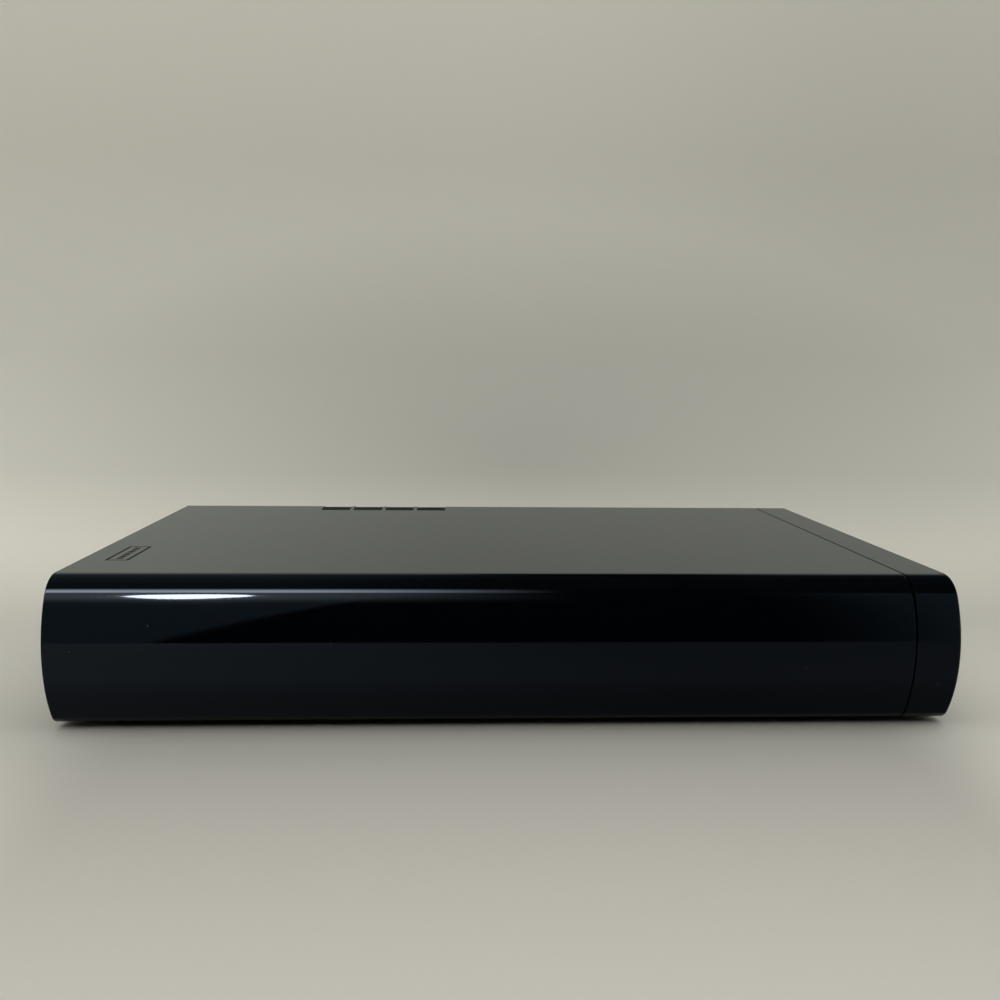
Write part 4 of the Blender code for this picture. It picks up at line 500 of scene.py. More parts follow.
# Smooth red ABS on the pairing button, and duller red PBT round the sensor port
RED_CAP = moulded("red_abs", "#a3141a", "#b31c20", 0.4 * MM, 0.35, 0.01 * MM)
RED_HOUSING = moulded("red_pbt", "#b32626", "#bd3030", 0.4 * MM, 0.45, 0.01 * MM)

# Waxy white acetal for what slides or clamps, and satin dark PBT for what blows or carries a disc
ACETAL = moulded("white_acetal", "#dcdad2", "#e6e4dd", 0.5 * MM, 0.4, 0.01 * MM)
FAN_BLACK = moulded("fan_pbt", "#1b1c1e", "#242527", 0.4 * MM, 0.5, 0.02 * MM)

# Matt grey ink in the buttons' signs, and black lacquer so rough that it mirrors nothing
PAINT = moulded("grey_print", "#7e8285", "#8b8f92", 0.2 * MM, 0.6, 0.005 * MM)
INLAY = moulded("dark_inlay", "#17191b", "#1e2022", 0.2 * MM, 0.8, 0.005 * MM, 0.08)

# Tinned sheet with soft streaks along Y, bright grey zinc plate, and smooth warm nickel plate
SHEET = metal("tinned_sheet_steel", "#a9aaa8", "#c3c4c2", (1, 0.15, 1), 0.9 * MM, 0.34)
SCREW_STEEL = metal("zinc_plated_steel", "#8d9094", "#b6b9bc", (1, 1, 1), 0.5 * MM, 0.3)
NICKEL = metal("nickel_plate", "#b9b7b1", "#d6d4ce", (1, 1, 1), 0.7 * MM, 0.16)

# Aluminium with the long lines of its extrusion, brass with fine lines round X, and gold plate
ALUMINIUM = metal("extruded_aluminium", "#b4b7ba", "#d3d6d8", (1, 0.03, 1), 0.5 * MM, 0.3)
BRASS = metal("turned_brass", "#a8823a", "#cfae62", (1, 0.2, 0.2), 0.3 * MM, 0.25)
GOLD = metal("gold_plate", "#c69f45", "#e0c070", (1, 1, 1), 0.4 * MM, 0.2)

FELT = wool_felt()
CLEAR = clear_polycarbonate()
BOARD = solder_mask()
FILM = ribbon_film()

# The sleeve: one moulding with its sides, its two lips underneath, its vents and its screw columns
LIP_REACH = 8 * MM
LIP_X = LOW_CORNER_X - LIP_REACH
LIP_TOP = UNDERSIDE + WALL
GRILLE_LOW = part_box("side_vent_grille")[0]
VENT_COUNT = 4
VENT_LENGTH = 12.3 * MM
VENT_RIB = 1.45 * MM
VENT_BORDER = 2.5 * MM
VENT_FRONT = GRILLE_LOW.y + VENT_BORDER
VENT_STARTS = [VENT_FRONT + i * (VENT_LENGTH + VENT_RIB) for i in range(VENT_COUNT)]
VENT_TOP_X = GRILLE_LOW.x + VENT_BORDER
VENT_LOW_Z = 30 * MM
VENT_CORNER = 1.1 * MM
STEP_LENGTH = 10.5 * MM
STEP_DEPTH = 0.25 * MM
STEP_END = 1.2 * MM

# An inlay's face lies a fifth of its groove's depth below the top.
INLAY_SHARE = 5

SCREWS = [f"case_screw_{number}" for number in (1, 2, 3, 4)]
SCREW_HEAD = 2.6 * MM
SCREW_HEIGHT = 1 * MM
SCREW_SHANK = 1.25 * MM
COLUMN_RADIUS = 2.8 * MM
COLUMN_LOW = 5.6 * MM
CEILING = TOP - WALL
LIP_HOLE_END = 3.95 * MM

# The generic mark on the top: a thin engraved frame round a row of dots
MARK_PLACE = (-42.5 * MM, 122.5 * MM)
MARK_WIDTH = 25 * MM
MARK_HEIGHT = 7.4 * MM
MARK_LINE = 0.9 * MM
MARK_DEPTH = 0.15 * MM
MARK_DOTS = 7
MARK_DOT_PITCH = 3 * MM
MARK_DOT_RADIUS = 1.15 * MM


def mark_shapes(name, low, high):
    """The frame and the dots of the mark between two heights."""
    middle = Vector((*MARK_PLACE, 0))
    outer = Vector((MARK_WIDTH / 2, MARK_HEIGHT / 2, 0))
    inner = outer - Vector((MARK_LINE, MARK_LINE, 0))
    up = Vector((0, 0, 1))
    rail = block(name, middle - outer + low * up, middle + outer + high * up)
    field = block("mark_field", middle - inner + (low - PAST) * up, middle + inner + (high + PAST) * up)
    cut(rail, field)
    dots = []
    for x in spaced(middle.x, MARK_DOT_PITCH, MARK_DOTS):
        dots.append(drum("mark_dot", MARK_DOT_RADIUS, 2, (x, middle.y), low, high, SMALL_STEPS))
    return gather(name, [rail, *dots])


def vent_cutters():
    """Blocks with round corners that open the vents over the right upper edge."""
    cutters = []
    for start in VENT_STARTS:
        high = (HALF_WIDTH + PAST, start + VENT_LENGTH, TOP + PAST)
        cutter = block("vent", (VENT_TOP_X, start, VENT_LOW_Z), high)
        inner = at(0, VENT_TOP_X)
        lower = at(2, VENT_LOW_Z)
        across = at(1, start, start + VENT_LENGTH)
        soften(
            cutter,
            VENT_CORNER,
            lambda a, b: across(a, b) and inner(a, b) != lower(a, b),
            BLOCK_STEPS,
        )
        cutters.append(cutter)
    return cutters


def vent_steps(name, low, high, reach):
    """Shallow steps that lead from the vents onto the flat top, between two heights."""
    steps = []
    for start in VENT_STARTS:
        corner = (VENT_TOP_X - STEP_LENGTH, start, low)
        step = block("step", corner, (VENT_TOP_X + reach, start + VENT_LENGTH, high))
        inner = at(0, corner[0])
        across = at(1, start, start + VENT_LENGTH)
        soften(step, STEP_END, lambda a, b: across(a, b) and inner(a, b), BLOCK_STEPS)
        steps.append(step)
    return gather(name, steps)


def make_sleeve():
    outline = [(-LIP_X, UNDERSIDE), *case_section(0), (LIP_X, UNDERSIDE), (LIP_X, LIP_TOP)]
    outline += [*reversed(case_section(WALL)), (-LIP_X, LIP_TOP)]
    sleeve = slab("case_sleeve", outline, 1, SLEEVE_FRONT, BACK)
    soften(sleeve, RIM_ROUND, at(1, SLEEVE_FRONT, BACK))
    cut(sleeve, *vent_cutters())
    for screw in SCREWS:
        low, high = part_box(screw)
        place = centre_of(screw).xy
        weld(sleeve, drum("column", COLUMN_RADIUS, 2, place, COLUMN_LOW, CEILING + SINK, SMALL_STEPS))
        bore_radius = SCREW_SHANK + CLOSE
        bore = drum("bore", bore_radius, 2, place, COLUMN_LOW - SINK, high.z + GAP, SMALL_STEPS)
        head = SCREW_HEAD + GAP
        shoulder = low.z + SCREW_HEIGHT + GAP
        profile = [(head, UNDERSIDE - PAST), (head, shoulder), (SCREW_SHANK + GAP, shoulder)]
        profile.append((SCREW_SHANK + GAP, LIP_HOLE_END))
        cut(sleeve, bore, turned("head_recess", profile, 2, place, SMALL_STEPS))
    cut(sleeve, mark_shapes("mark_groove", TOP - MARK_DEPTH, TOP + PAST))
    cut(sleeve, vent_steps("step_groove", TOP - STEP_DEPTH, TOP + PAST, 2 * VENT_CORNER))
    hand_in(sleeve, POLISHED, "console", "case_gloss", "top_case")
    mark = mark_shapes("top_mark", TOP - MARK_DEPTH, TOP - MARK_DEPTH / INLAY_SHARE)
    hand_in(mark, INLAY, "console", "matte_black")
    steps = vent_steps("vent_steps", TOP - STEP_DEPTH, TOP - STEP_DEPTH / INLAY_SHARE, 0)
    hand_in(steps, INLAY, "console", "matte_black")


# The front piece with the disc slot, the buttons' holes and the flap's opening
DISC_Z = centre_of("slot_felt").z
SLOT_HALF = 62.3 * MM
SLOT_HEIGHT = 5 * MM
SLOT_LIP = 0.6 * MM
HOLE_LIP = 0.25 * MM
BUTTON_RADIUS = 4.5 * MM
LIGHT_WIDTH = 2.6 * MM
LIGHT_HEIGHT = 1.2 * MM
FLAP_HALF = 44.7 * MM
FLAP_Z = UNDERSIDE + 6.75 * MM
FLAP_TOP = FLAP_Z + 14.3 * MM
FLAP_OPENING = 14.6 * MM
NOTCH_HALF = 8 * MM
NOTCH_HEIGHT = 2 * MM
NOTCH_DEPTH = 1.2 * MM
NOTCH_ROUND = 0.7 * MM
HINGE = (FRONT + WALL / 2, FLAP_Z + GAP + WALL / 2)
PIN_RADIUS = 0.65 * MM
PIN_END = 46.1 * MM
PAN_TOP = 3.6 * MM
TAB_THICKNESS = 1.4 * MM
TAB_LENGTH = 8 * MM
TAB_ROOT = 4 * MM
TAB_INNER = 20 * MM
TAB_OUTER = 44 * MM


def make_tab(side, seat, wall, inward):
    """A tab whose outer face lies at seat and whose root reaches into a wall."""
    face = seat + inward * TAB_THICKNESS
    end = BEZEL_BACK - SINK
    root = wall - inward * SINK
    start = BEZEL_BACK - TAB_ROOT
    tip = BEZEL_BACK + TAB_LENGTH
    outline = [(start, face), (tip, face), (tip, seat), (end, seat), (end, root), (start, root)]
    near, far = sorted((side * TAB_INNER, side * TAB_OUTER))
    tab = slab("tab", outline, 0, near, far)
    soften(tab, GAP, at(1, tip))
    return tab


def make_bezel():
    bezel = slab("front_bezel_shell", case_section(0), 1, FRONT, BEZEL_BACK)
    soften(bezel, FRONT_ROUND, at(1, FRONT), FRONT_STEPS)
    soften(bezel, RIM_ROUND, at(1, BEZEL_BACK))
    cut(bezel, slab("hollow", case_section(WALL), 1, WALL_BACK, BEZEL_BACK + PAST))
    depth = WALL + PAST
    slot = rounded(0, DISC_Z, 2 * SLOT_HALF, SLOT_HEIGHT, SLOT_HEIGHT / 2, 3 * TURN_STEPS)
    cut(bezel, opening("slot", slot, 1, FRONT, depth, SLOT_LIP))
    flap_middle = FLAP_Z + FLAP_OPENING / 2
    doorway = rounded(0, flap_middle, 2 * (FLAP_HALF + GAP), FLAP_OPENING, GAP)
    cut(bezel, opening("doorway", doorway, 1, FRONT, depth, HOLE_LIP))
    notch_top = FLAP_Z + FLAP_OPENING + NOTCH_HEIGHT
    low = (-NOTCH_HALF, FRONT - PAST, FLAP_Z + FLAP_OPENING - PAST)
    high = (NOTCH_HALF, FRONT + NOTCH_DEPTH, notch_top)
    cut(bezel, soft_block("notch", low, high, NOTCH_ROUND, BLOCK_STEPS))
    cut(bezel, drum("pin_bore", PIN_RADIUS + CLOSE, 0, HINGE, -PIN_END - GAP, PIN_END + GAP, SMALL_STEPS))
    for node in ("power_button", "eject_button"):
        hole = circle((centre_of(node).x, DISC_Z), BUTTON_RADIUS + GAP)
        cut(bezel, opening("button_hole", hole, 1, FRONT, depth, HOLE_LIP))
    light = centre_of("power_light")
    hole = rounded(light.x, light.z, LIGHT_WIDTH + 2 * GAP, LIGHT_HEIGHT + 2 * GAP, 2 * GAP)
    cut(bezel, opening("light_hole", hole, 1, FRONT, depth, HOLE_LIP / 2))
    for side in (-1, 1):
        weld(bezel, make_tab(side, CEILING - GAP, CEILING, -1), make_tab(side, PAN_TOP + GAP, LIP_TOP, 1))
    hand_in(bezel, POLISHED, "console", "bezel_gloss", "front_bezel")


FLAP_EDGE = 0.25 * MM
FLAP_BORDER = 2 * MM
FLAP_POCKET = 0.6 * MM
FACES_BACK = 0.99


def make_flap():
    radius = WALL / 2
    outline = arc(HINGE, radius, 180, 360, CORNER_STEPS)
    outline += [(HINGE[0] + radius, FLAP_TOP), (HINGE[0] - radius, FLAP_TOP)]
    flap = slab("flap_door", outline, 0, -FLAP_HALF, FLAP_HALF)
    edit(flap)
    pick_faces(flap, lambda middle, normal: normal.y > FACES_BACK and middle.z > HINGE[1])
    bpy.ops.mesh.inset(thickness=FLAP_BORDER)
    bpy.ops.mesh.extrude_region_move(TRANSFORM_OT_translate={"value": (0, -FLAP_POCKET, 0)})
    done()
    ends = at(0, -FLAP_HALF, FLAP_HALF)
    upper = at(2, FLAP_TOP)
    soften(flap, FLAP_EDGE, lambda a, b: ends(a, b) or upper(a, b), EDGE_STEPS)
    for side in (-1, 1):
        near, far = sorted((side * (FLAP_HALF - SINK), side * PIN_END))
        weld(flap, drum("pin", PIN_RADIUS, 0, HINGE, near, far, SMALL_STEPS))
    hand_in(flap, POLISHED, "port_flap", "bezel_gloss", "port_flap")


# Buttons: a dished cap, a flange behind the wall, a stem to the switch, and a sign whose paint
# fills a share of its depth
CAP_ROUND = 0.4 * MM
CAP_DISH = 0.25 * MM
FLANGE = 1.5 * MM
FLANGE_THICKNESS = 0.8 * MM
STEM_RADIUS = 1.6 * MM
SIGN_DEPTH = 0.12 * MM
SIGN_LINE = 0.3 * MM
PAINT_SHARE = 0.9
RING_RADIUS = 1.5 * MM
RING_DEGREES = (125, 415)
RING_BAR = 2 * MM
EJECT_HALF = 1.55 * MM
EJECT_BAR = (-0.8 * EJECT_HALF, -0.55 * EJECT_HALF)
SYNC_RADIUS = 2.5 * MM


def make_cap(name, node, radius, wall_back):
    low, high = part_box(node)
    face = low.y
    centre = centre_of(node).xz
    flat = radius - CAP_ROUND
    profile = []
    for i in range(1, TURN_STEPS + 1):
        share = i / TURN_STEPS
        profile.append((flat * share, face + CAP_DISH * (1 - share**2)))
    profile += arc((flat, face + CAP_ROUND), CAP_ROUND, -90, 0, TURN_STEPS)[1:]
    back = wall_back + GAP
    profile += [(radius, back), (radius + FLANGE, back), (radius + FLANGE, back + FLANGE_THICKNESS)]
    profile += [(STEM_RADIUS, back + FLANGE_THICKNESS), (STEM_RADIUS, high.y)]
    return turned(name, profile, 1, centre), centre, face


def power_sign(name, centre, start, end):
    x, z = centre
    half = SIGN_LINE / 2
    ring = band(centre, RING_RADIUS - SIGN_LINE, RING_RADIUS, *RING_DEGREES)
    bar = block("bar", (x - half, start, z + half), (x + half, end, z + RING_BAR))
    return gather(name, [slab(name, ring, 1, start, end), bar])


def eject_sign(name, centre, start, end):
    x, z = centre
    half = EJECT_HALF
    outline = [(x - half, z - half / 3), (x + half, z - half / 3), (x, z + half)]
    arrow = slab(name, outline, 1, start, end)
    bar = block("bar", (x - half, start, z + EJECT_BAR[0]), (x + half, end, z + EJECT_BAR[1]))
    return gather(name, [arrow, bar])


def make_buttons():
    for kind, make_sign in (("power", power_sign), ("eject", eject_sign)):
        node = kind + "_button"
        cap, centre, face = make_cap(kind + "_cap", node, BUTTON_RADIUS, WALL_BACK)
        floor = face + CAP_DISH + SIGN_DEPTH
        cut(cap, make_sign("groove", centre, FRONT - PAST, floor))
        hand_in(cap, POLISHED, node, "bezel_gloss", node)
        sign = make_sign(kind + "_sign", centre, floor - SIGN_DEPTH * PAINT_SHARE, floor)
        hand_in(sign, PAINT, node, "bezel_gloss")
    bay_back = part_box("port_bay")[1].y
    cap = make_cap("sync_cap", "sync_button", SYNC_RADIUS, bay_back)[0]
    hand_in(cap, RED_CAP, "sync_button", "button_red", "sync_button")


LIGHT_FLANGE = 0.8 * MM


def make_light():
    low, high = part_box("power_light")
    x, z = centre_of("power_light").xz
    pipe = slab("light_pipe", rounded(x, z, LIGHT_WIDTH, LIGHT_HEIGHT, GAP), 1, low.y, high.y)
    soften(pipe, GAP / 2, at(1, low.y), EDGE_STEPS)
    outline = rounded(x, z, LIGHT_WIDTH + 2 * LIGHT_FLANGE, LIGHT_HEIGHT + 2 * LIGHT_FLANGE, LIGHT_FLANGE)
    start = WALL_BACK + GAP
    weld(pipe, slab("flange", outline, 1, start, start + FLANGE_THICKNESS))
    hand_in(pipe, CLEAR, "console", "light_clear", "power_light")


# Sockets: a shell with a round-lipped mouth, a tongue in it and contacts on the tongue
SHELL_ROUND = 0.6 * MM
MOUTH_ROUND = 0.4 * MM
MOUTH_LIP = 0.15 * MM
MOUTH_DEPTH = 9 * MM
SOCKET_FLOOR = 1 * MM
CONTACT_PROUD = 0.08 * MM
CONTACT_SPACE = 0.5 * MM

# Node, finish, slot, mouth width and height, tongue width and height, its space behind the mouth,
# and how many contacts lie on it
SOCKETS = (
    ("usb_port_left", NICKEL, "bright_steel", 12.1, 4.7, 10.5, 1.8, 0.8, 4),
    ("usb_port_right", NICKEL, "bright_steel", 12.1, 4.7, 10.5, 1.8, 0.8, 4),
    ("card_reader", PORT_BLACK, "port_black", 24.2, 2.6, 21, 0.6, 4, 9),
    ("dc_inlet", PORT_BLACK, "port_black", 8, 5.4, 4.8, 1.2, 1.6, 2),
    ("video_port", NICKEL, "bright_steel", 13.6, 4.4, 10.4, 1.4, 1.6, 9),
    ("av_port", PORT_BLACK, "port_black", 10.5, 4.4, 7.7, 1.8, 1.4, 6),
    ("usb_port_rear", NICKEL, "bright_steel", 12.1, 4.7, 10.5, 1.8, 0.8, 4),
    ("sensor_port", RED_HOUSING, "sensor_red", 5.6, 4.6, 3.6, 2, 1, 3),
)
STACKED_Z = 2.85 * MM


def make_socket(node, finish, slot, *sizes):
    mouth_width, mouth_height, tongue_width, tongue_height, space = (size * MM for size in sizes[:5])
    contacts = sizes[5]
    low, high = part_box(node)
    middle = (low + high) / 2
    inward = 1 if middle.y < 0 else -1
    front, back = (low.y, high.y) if inward > 0 else (high.y, low.y)
    floor = back - SOCKET_FLOOR if inward > 0 else front - MOUTH_DEPTH
    outline = rounded(middle.x, middle.z, high.x - low.x, high.z - low.z, SHELL_ROUND)
    shell = slab(node + "_shell", outline, 1, front, back)
    soften(shell, MOUTH_LIP, at(1, front))
    tongues = []
    leaves = []
    rows = [low.z + STACKED_Z, high.z - STACKED_Z] if node == "usb_port_rear" else [middle.z]
    for z in rows:
        hole = rounded(middle.x, z, mouth_width, mouth_height, MOUTH_ROUND)
        cut(shell, opening("mouth", hole, 1, front, floor - front, MOUTH_LIP))
        start, end = sorted((front + inward * space, floor + inward * SINK))
        half = Vector((tongue_width / 2, (end - start) / 2, tongue_height / 2))
        centre = Vector((middle.x, (start + end) / 2, z))
        edge = tongue_height / 6
        tongues.append(soft_block("tongue", centre - half, centre + half, edge, RIM_STEPS))
        pitch = tongue_width / contacts
        start, end = sorted((front + inward * (space + CONTACT_SPACE), floor + inward * SINK / 2))
        half = Vector((pitch / 4, (end - start) / 2, tongue_height / 2 + CONTACT_PROUD))
        for x in spaced(middle.x, pitch, contacts):
            centre = Vector((x, (start + end) / 2, z))
            leaves.append(soft_block("leaf", centre - half, centre + half, CONTACT_PROUD / 2, 1))
    hand_in(shell, finish, "console", slot, node)
    hand_in(gather(node + "_tongue", tongues), PORT_BLACK, "console", "port_black")
    hand_in(gather(node + "_contacts", leaves), GOLD, "console", "brass")


# The rear panel with its round-ended exhaust slots and its port windows. COUNT_SLACK keeps a
# rounding error from losing the last slot.
PANEL_INSET = WALL + GAP
EXHAUST_WIDTH = 2 * MM
EXHAUST_PITCH = 3.6 * MM
EXHAUST_MARGIN = 1 * MM
COUNT_SLACK = 0.01
PANEL_LIP = 0.25 * MM
REAR_PORTS = ("dc_inlet", "video_port", "av_port", "usb_port_rear", "sensor_port")


def make_rear_panel():
    low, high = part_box("rear_panel")
    section = [(x, max(z, low.z)) for x, z in case_side(PANEL_INSET)]
    right = [point for i, point in enumerate(section) if i == 0 or point[1] < section[i - 1][1]]
    panel = slab("exhaust_panel", mirrored(right) + right, 1, low.y, high.y)
    soften(panel, PANEL_LIP, at(1, high.y))
    depth = low.y - high.y - PAST
    sink_low, sink_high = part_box("heat_sink")
    middle = (sink_low + sink_high) / 2
    height = sink_high.z - sink_low.z - 2 * EXHAUST_MARGIN
    count = int((sink_high.x - sink_low.x - EXHAUST_WIDTH) / EXHAUST_PITCH + COUNT_SLACK) + 1
    slots = []
    for x in spaced(middle.x, EXHAUST_PITCH, count):
        outline = rounded(x, middle.z, EXHAUST_WIDTH, height, EXHAUST_WIDTH / 2)
        slots.append(opening("exhaust", outline, 1, high.y, depth, PANEL_LIP))
    cut(panel, gather("exhausts", slots))
    windows = []
    for node in REAR_PORTS:
        port_low, port_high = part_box(node)
        centre = centre_of(node)
        size = port_high - port_low
        outline = rounded(centre.x, centre.z, size.x + 2 * GAP, size.z + 2 * GAP, SHELL_ROUND + GAP)
        windows.append(opening("window", outline, 1, high.y, depth, PANEL_LIP / 2))
    cut(panel, gather("windows", windows))
    hand_in(panel, SPARKED, "console", "matte_black", "rear_panel")


# The base: the pan, its feet, the battery cover and the case screws
PAN_EDGE = LIP_X - GAP
RISER = 2.2 * MM
FLANGE_Z = LIP_TOP + GAP
FLANGE_TOP = FLANGE_Z + 1.2 * MM
FLANGE_X = LOW_CORNER_X + 0.5 * MM
FOOT_RADIUS = 6.5 * MM
FOOT_POCKET = 0.6 * MM
FEET = [f"foot_{number}" for number in (1, 2, 3, 4)]
POST_RADIUS = 3 * MM
POST_INSET = 6 * MM
POST_END_SPACE = 10 * MM
COVER_RADIUS = 12 * MM
BASE_VENTS = 9
BASE_VENT_WIDTH = 2 * MM
BASE_VENT_PITCH = 5 * MM
BASE_VENT_LENGTH = 30 * MM
PLATE_PLACE = (0, -45 * MM)
PLATE_SIZE = (64 * MM, 38 * MM)
PLATE_DEPTH = 0.3 * MM
PLATE_ROUND = 2 * MM
PIN_MARKS = [(x * MM, y * MM) for x in (-50, 50) for y in (-78, 0, 98)]
PIN_MARK_RADIUS = 3 * MM
PIN_MARK_DEPTH = 0.12 * MM


def make_base_pan():
    panel_low, panel_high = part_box("rear_panel")
    board_low, board_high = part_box("main_board")
    blower = centre_of("blower_impeller")
    riser_x = PAN_EDGE - RISER
    right = [(PAN_EDGE, UNDERSIDE), (PAN_EDGE, FLANGE_Z), (FLANGE_X, FLANGE_Z)]
    right += [(FLANGE_X, FLANGE_TOP), (riser_x, FLANGE_TOP), (riser_x, PAN_TOP)]
    pan = slab("base_tray", right + mirrored(right), 1, SLEEVE_FRONT, panel_high.y)
    soften(pan, GAP, at(2, UNDERSIDE))
    low = (-riser_x - SINK, panel_low.y, PAN_TOP - SINK)
    weld(pan, block("upstand", low, (riser_x + SINK, panel_high.y, FLANGE_TOP)))
    posts = []
    start, end = PAN_TOP - SINK, board_low.z - GAP
    for x in (board_low.x + POST_INSET, board_high.x - POST_INSET):
        for y in (board_low.y + POST_END_SPACE, board_high.y - POST_END_SPACE):
            posts.append(drum("post", POST_RADIUS, 2, (x, y), start, end, SMALL_STEPS))
    weld(pan, gather("posts", posts))
    pockets = []
    for foot in FEET:
        outline = circle(centre_of(foot).xy, FOOT_RADIUS + GAP)
        pockets.append(opening("pocket", outline, 2, UNDERSIDE, FOOT_POCKET, GAP / 2))
    cut(pan, gather("pockets", pockets))
    holes = []
    start, end = FLANGE_Z - MM, FLANGE_TOP + PAST
    for screw in SCREWS:
        place = centre_of(screw).xy
        holes.append(drum("hole", SCREW_SHANK + GAP, 2, place, start, end, SMALL_STEPS))
    cut(pan, gather("holes", holes))
    depth = PAN_TOP - UNDERSIDE + PAST
    hole = circle(centre_of("battery_cover").xy, COVER_RADIUS + GAP)
    cut(pan, opening("cover_hole", hole, 2, UNDERSIDE, depth, GAP))
    vents = []
    for x in spaced(blower.x, BASE_VENT_PITCH, BASE_VENTS):
        outline = rounded(x, blower.y, BASE_VENT_WIDTH, BASE_VENT_LENGTH, BASE_VENT_WIDTH / 2)
        vents.append(opening("vent", outline, 2, UNDERSIDE, depth, PANEL_LIP))
    cut(pan, gather("vents", vents))
    plate = rounded(*PLATE_PLACE, *PLATE_SIZE, PLATE_ROUND)
    marks = [opening("plate", plate, 2, UNDERSIDE, PLATE_DEPTH, PLATE_DEPTH / 2)]
    start, end = UNDERSIDE - PAST, UNDERSIDE + PIN_MARK_DEPTH
    for place in PIN_MARKS:
        marks.append(drum("pin_mark", PIN_MARK_RADIUS, 2, place, start, end))
    cut(pan, gather("marks", marks))
    hand_in(pan, SPARKED, "console", "matte_black", "base_pan")


FOOT_ROUND = 0.5 * MM
FOOT_GROOVE = 0.4 * MM
GROOVE_RADII = (4.4 * MM, 4.1 * MM, 3.5 * MM, 3.2 * MM)


def make_feet():
    for node in FEET:
        low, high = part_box(node)
        corner = (FOOT_RADIUS - FOOT_ROUND, low.z + FOOT_ROUND)
        profile = [(FOOT_RADIUS, high.z), *arc(corner, FOOT_ROUND, 0, -90, TURN_STEPS)]
        groove = low.z + FOOT_GROOVE
        profile += zip(GROOVE_RADII, (low.z, groove, groove, low.z))
        foot = turned(node.replace("foot", "foot_pad"), profile, 2, centre_of(node).xy)
        hand_in(foot, RUBBER, "console", "rubber_black", node)


COIN_SLOT = (12 * MM, 1.8 * MM)
COIN_DEPTH = 0.7 * MM
COVER_GROOVE = 9.5 * MM


def make_cover():
    low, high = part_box("battery_cover")
    place = centre_of("battery_cover").xy
    profile = [(COVER_RADIUS, high.z), (COVER_RADIUS, low.z + GAP)]
    profile.append((COVER_RADIUS - GAP / 3, low.z + GAP / 3))
    profile += [(COVER_RADIUS - GAP, low.z), (COVER_GROOVE, low.z), (COVER_GROOVE, low.z + GAP)]
    profile += [(COVER_GROOVE - 2 * GAP, low.z + GAP), (COVER_GROOVE - 2 * GAP, low.z)]
    cover = turned("cell_cover", profile, 2, place)
    coin = rounded(*place, *COIN_SLOT, COIN_SLOT[1] / 2)
    cut(cover, opening("coin_slot", coin, 2, low.z, COIN_DEPTH, GAP / 2))
    hand_in(cover, SPARKED, "console", "matte_black", "battery_cover")


DRIVER_REACH = 1.7 * MM
DRIVER_WIDTH = 0.8 * MM
DRIVER_DEPTH = 0.5 * MM
HEAD_DOME = ((0.8 * MM, 0), (0.25 * MM, 0.2 * MM), (0, 0.55 * MM))
SCREW_TIP = (0.5 * MM, 1 * MM)


def make_screws():
    for node in SCREWS:
        low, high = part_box(node)
        place = centre_of(node).xy
        top = low.z + SCREW_HEIGHT
        profile = [(SCREW_HEAD - inset, low.z + rise) for inset, rise in HEAD_DOME]
        profile += [(SCREW_HEAD, top), (SCREW_SHANK, top), (SCREW_SHANK, high.z - SCREW_TIP[1])]
        profile.append((SCREW_SHANK - SCREW_TIP[0], high.z))
        screw = turned(node.replace("screw", "screw_finished"), profile, 2, place, SMALL_STEPS)
        half = DRIVER_WIDTH / 2
        for across, along in ((half, DRIVER_REACH), (DRIVER_REACH, half)):
            start = (place[0] - across, place[1] - along, low.z - PAST)
            end = (place[0] + across, place[1] + along, low.z + DRIVER_DEPTH)
            cut(screw, block("driver_cross", start, end))
        hand_in(screw, SCREW_STEEL, "console", "screw_steel", node)


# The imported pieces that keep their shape, and the finish of each
DAMPERS = [f"drive_damper_{number}" for number in (1, 2, 3, 4)]
KEPT = (
    (SPARKED, ("side_vent_grille", "port_bay")),
    (FELT, ("slot_felt",)),
    (RUBBER, (*DAMPERS, "load_roller", "drive_belt")),
    (BOARD, ("main_board", "front_board", "wireless_board")),
    (FILM, ("flat_cable",)),
    (SHEET, ("metal_shield", "processor", "drive_chassis", "drive_cover", "traverse_frame")),
    (SHEET, ("spindle_motor", "sled_motor", "roller_arm", "load_motor")),
    (NICKEL, ("battery_cell", "guide_rod_left", "guide_rod_right", "lead_screw")),
    (ALUMINIUM, ("heat_sink",)),
    (BRASS, ("motor_pulley",)),
    (ACETAL, ("clamp_puck", "cam_slider")),
    (FAN_BLACK, ("blower_housing", "blower_impeller", "turntable", "laser_sled")),
)


def dress_kept():
    for finish, nodes in KEPT:
        for node in nodes:
            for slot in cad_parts[node].material_slots:
                slot.material = finish


make_sleeve()
make_bezel()
make_flap()
make_buttons()
make_light()
for socket in SOCKETS:
    make_socket(*socket)
make_rear_panel()
make_base_pan()
make_feet()
make_cover()
make_screws()
dress_kept()

# The stage: a pale floor and wall, which the top reflects at a low angle
FLOOR_HALF = 3000 * MM
WALL_X = 560 * MM
WALL_HEIGHT = 2500 * MM
SWEEP_RADIUS = 300 * MM
# A painted shadow: a soft darker ball on the wall's foot and the floor behind the console, its middle and
# its reach
PAINTED_SHADE_PLACE = (420 * MM, -40 * MM, 30 * MM)
PAINTED_SHADE_REACH = (420 * MM, 460 * MM, 230 * MM)
SMOOTH = {"interpolation_type": "SMOOTHSTEP"}
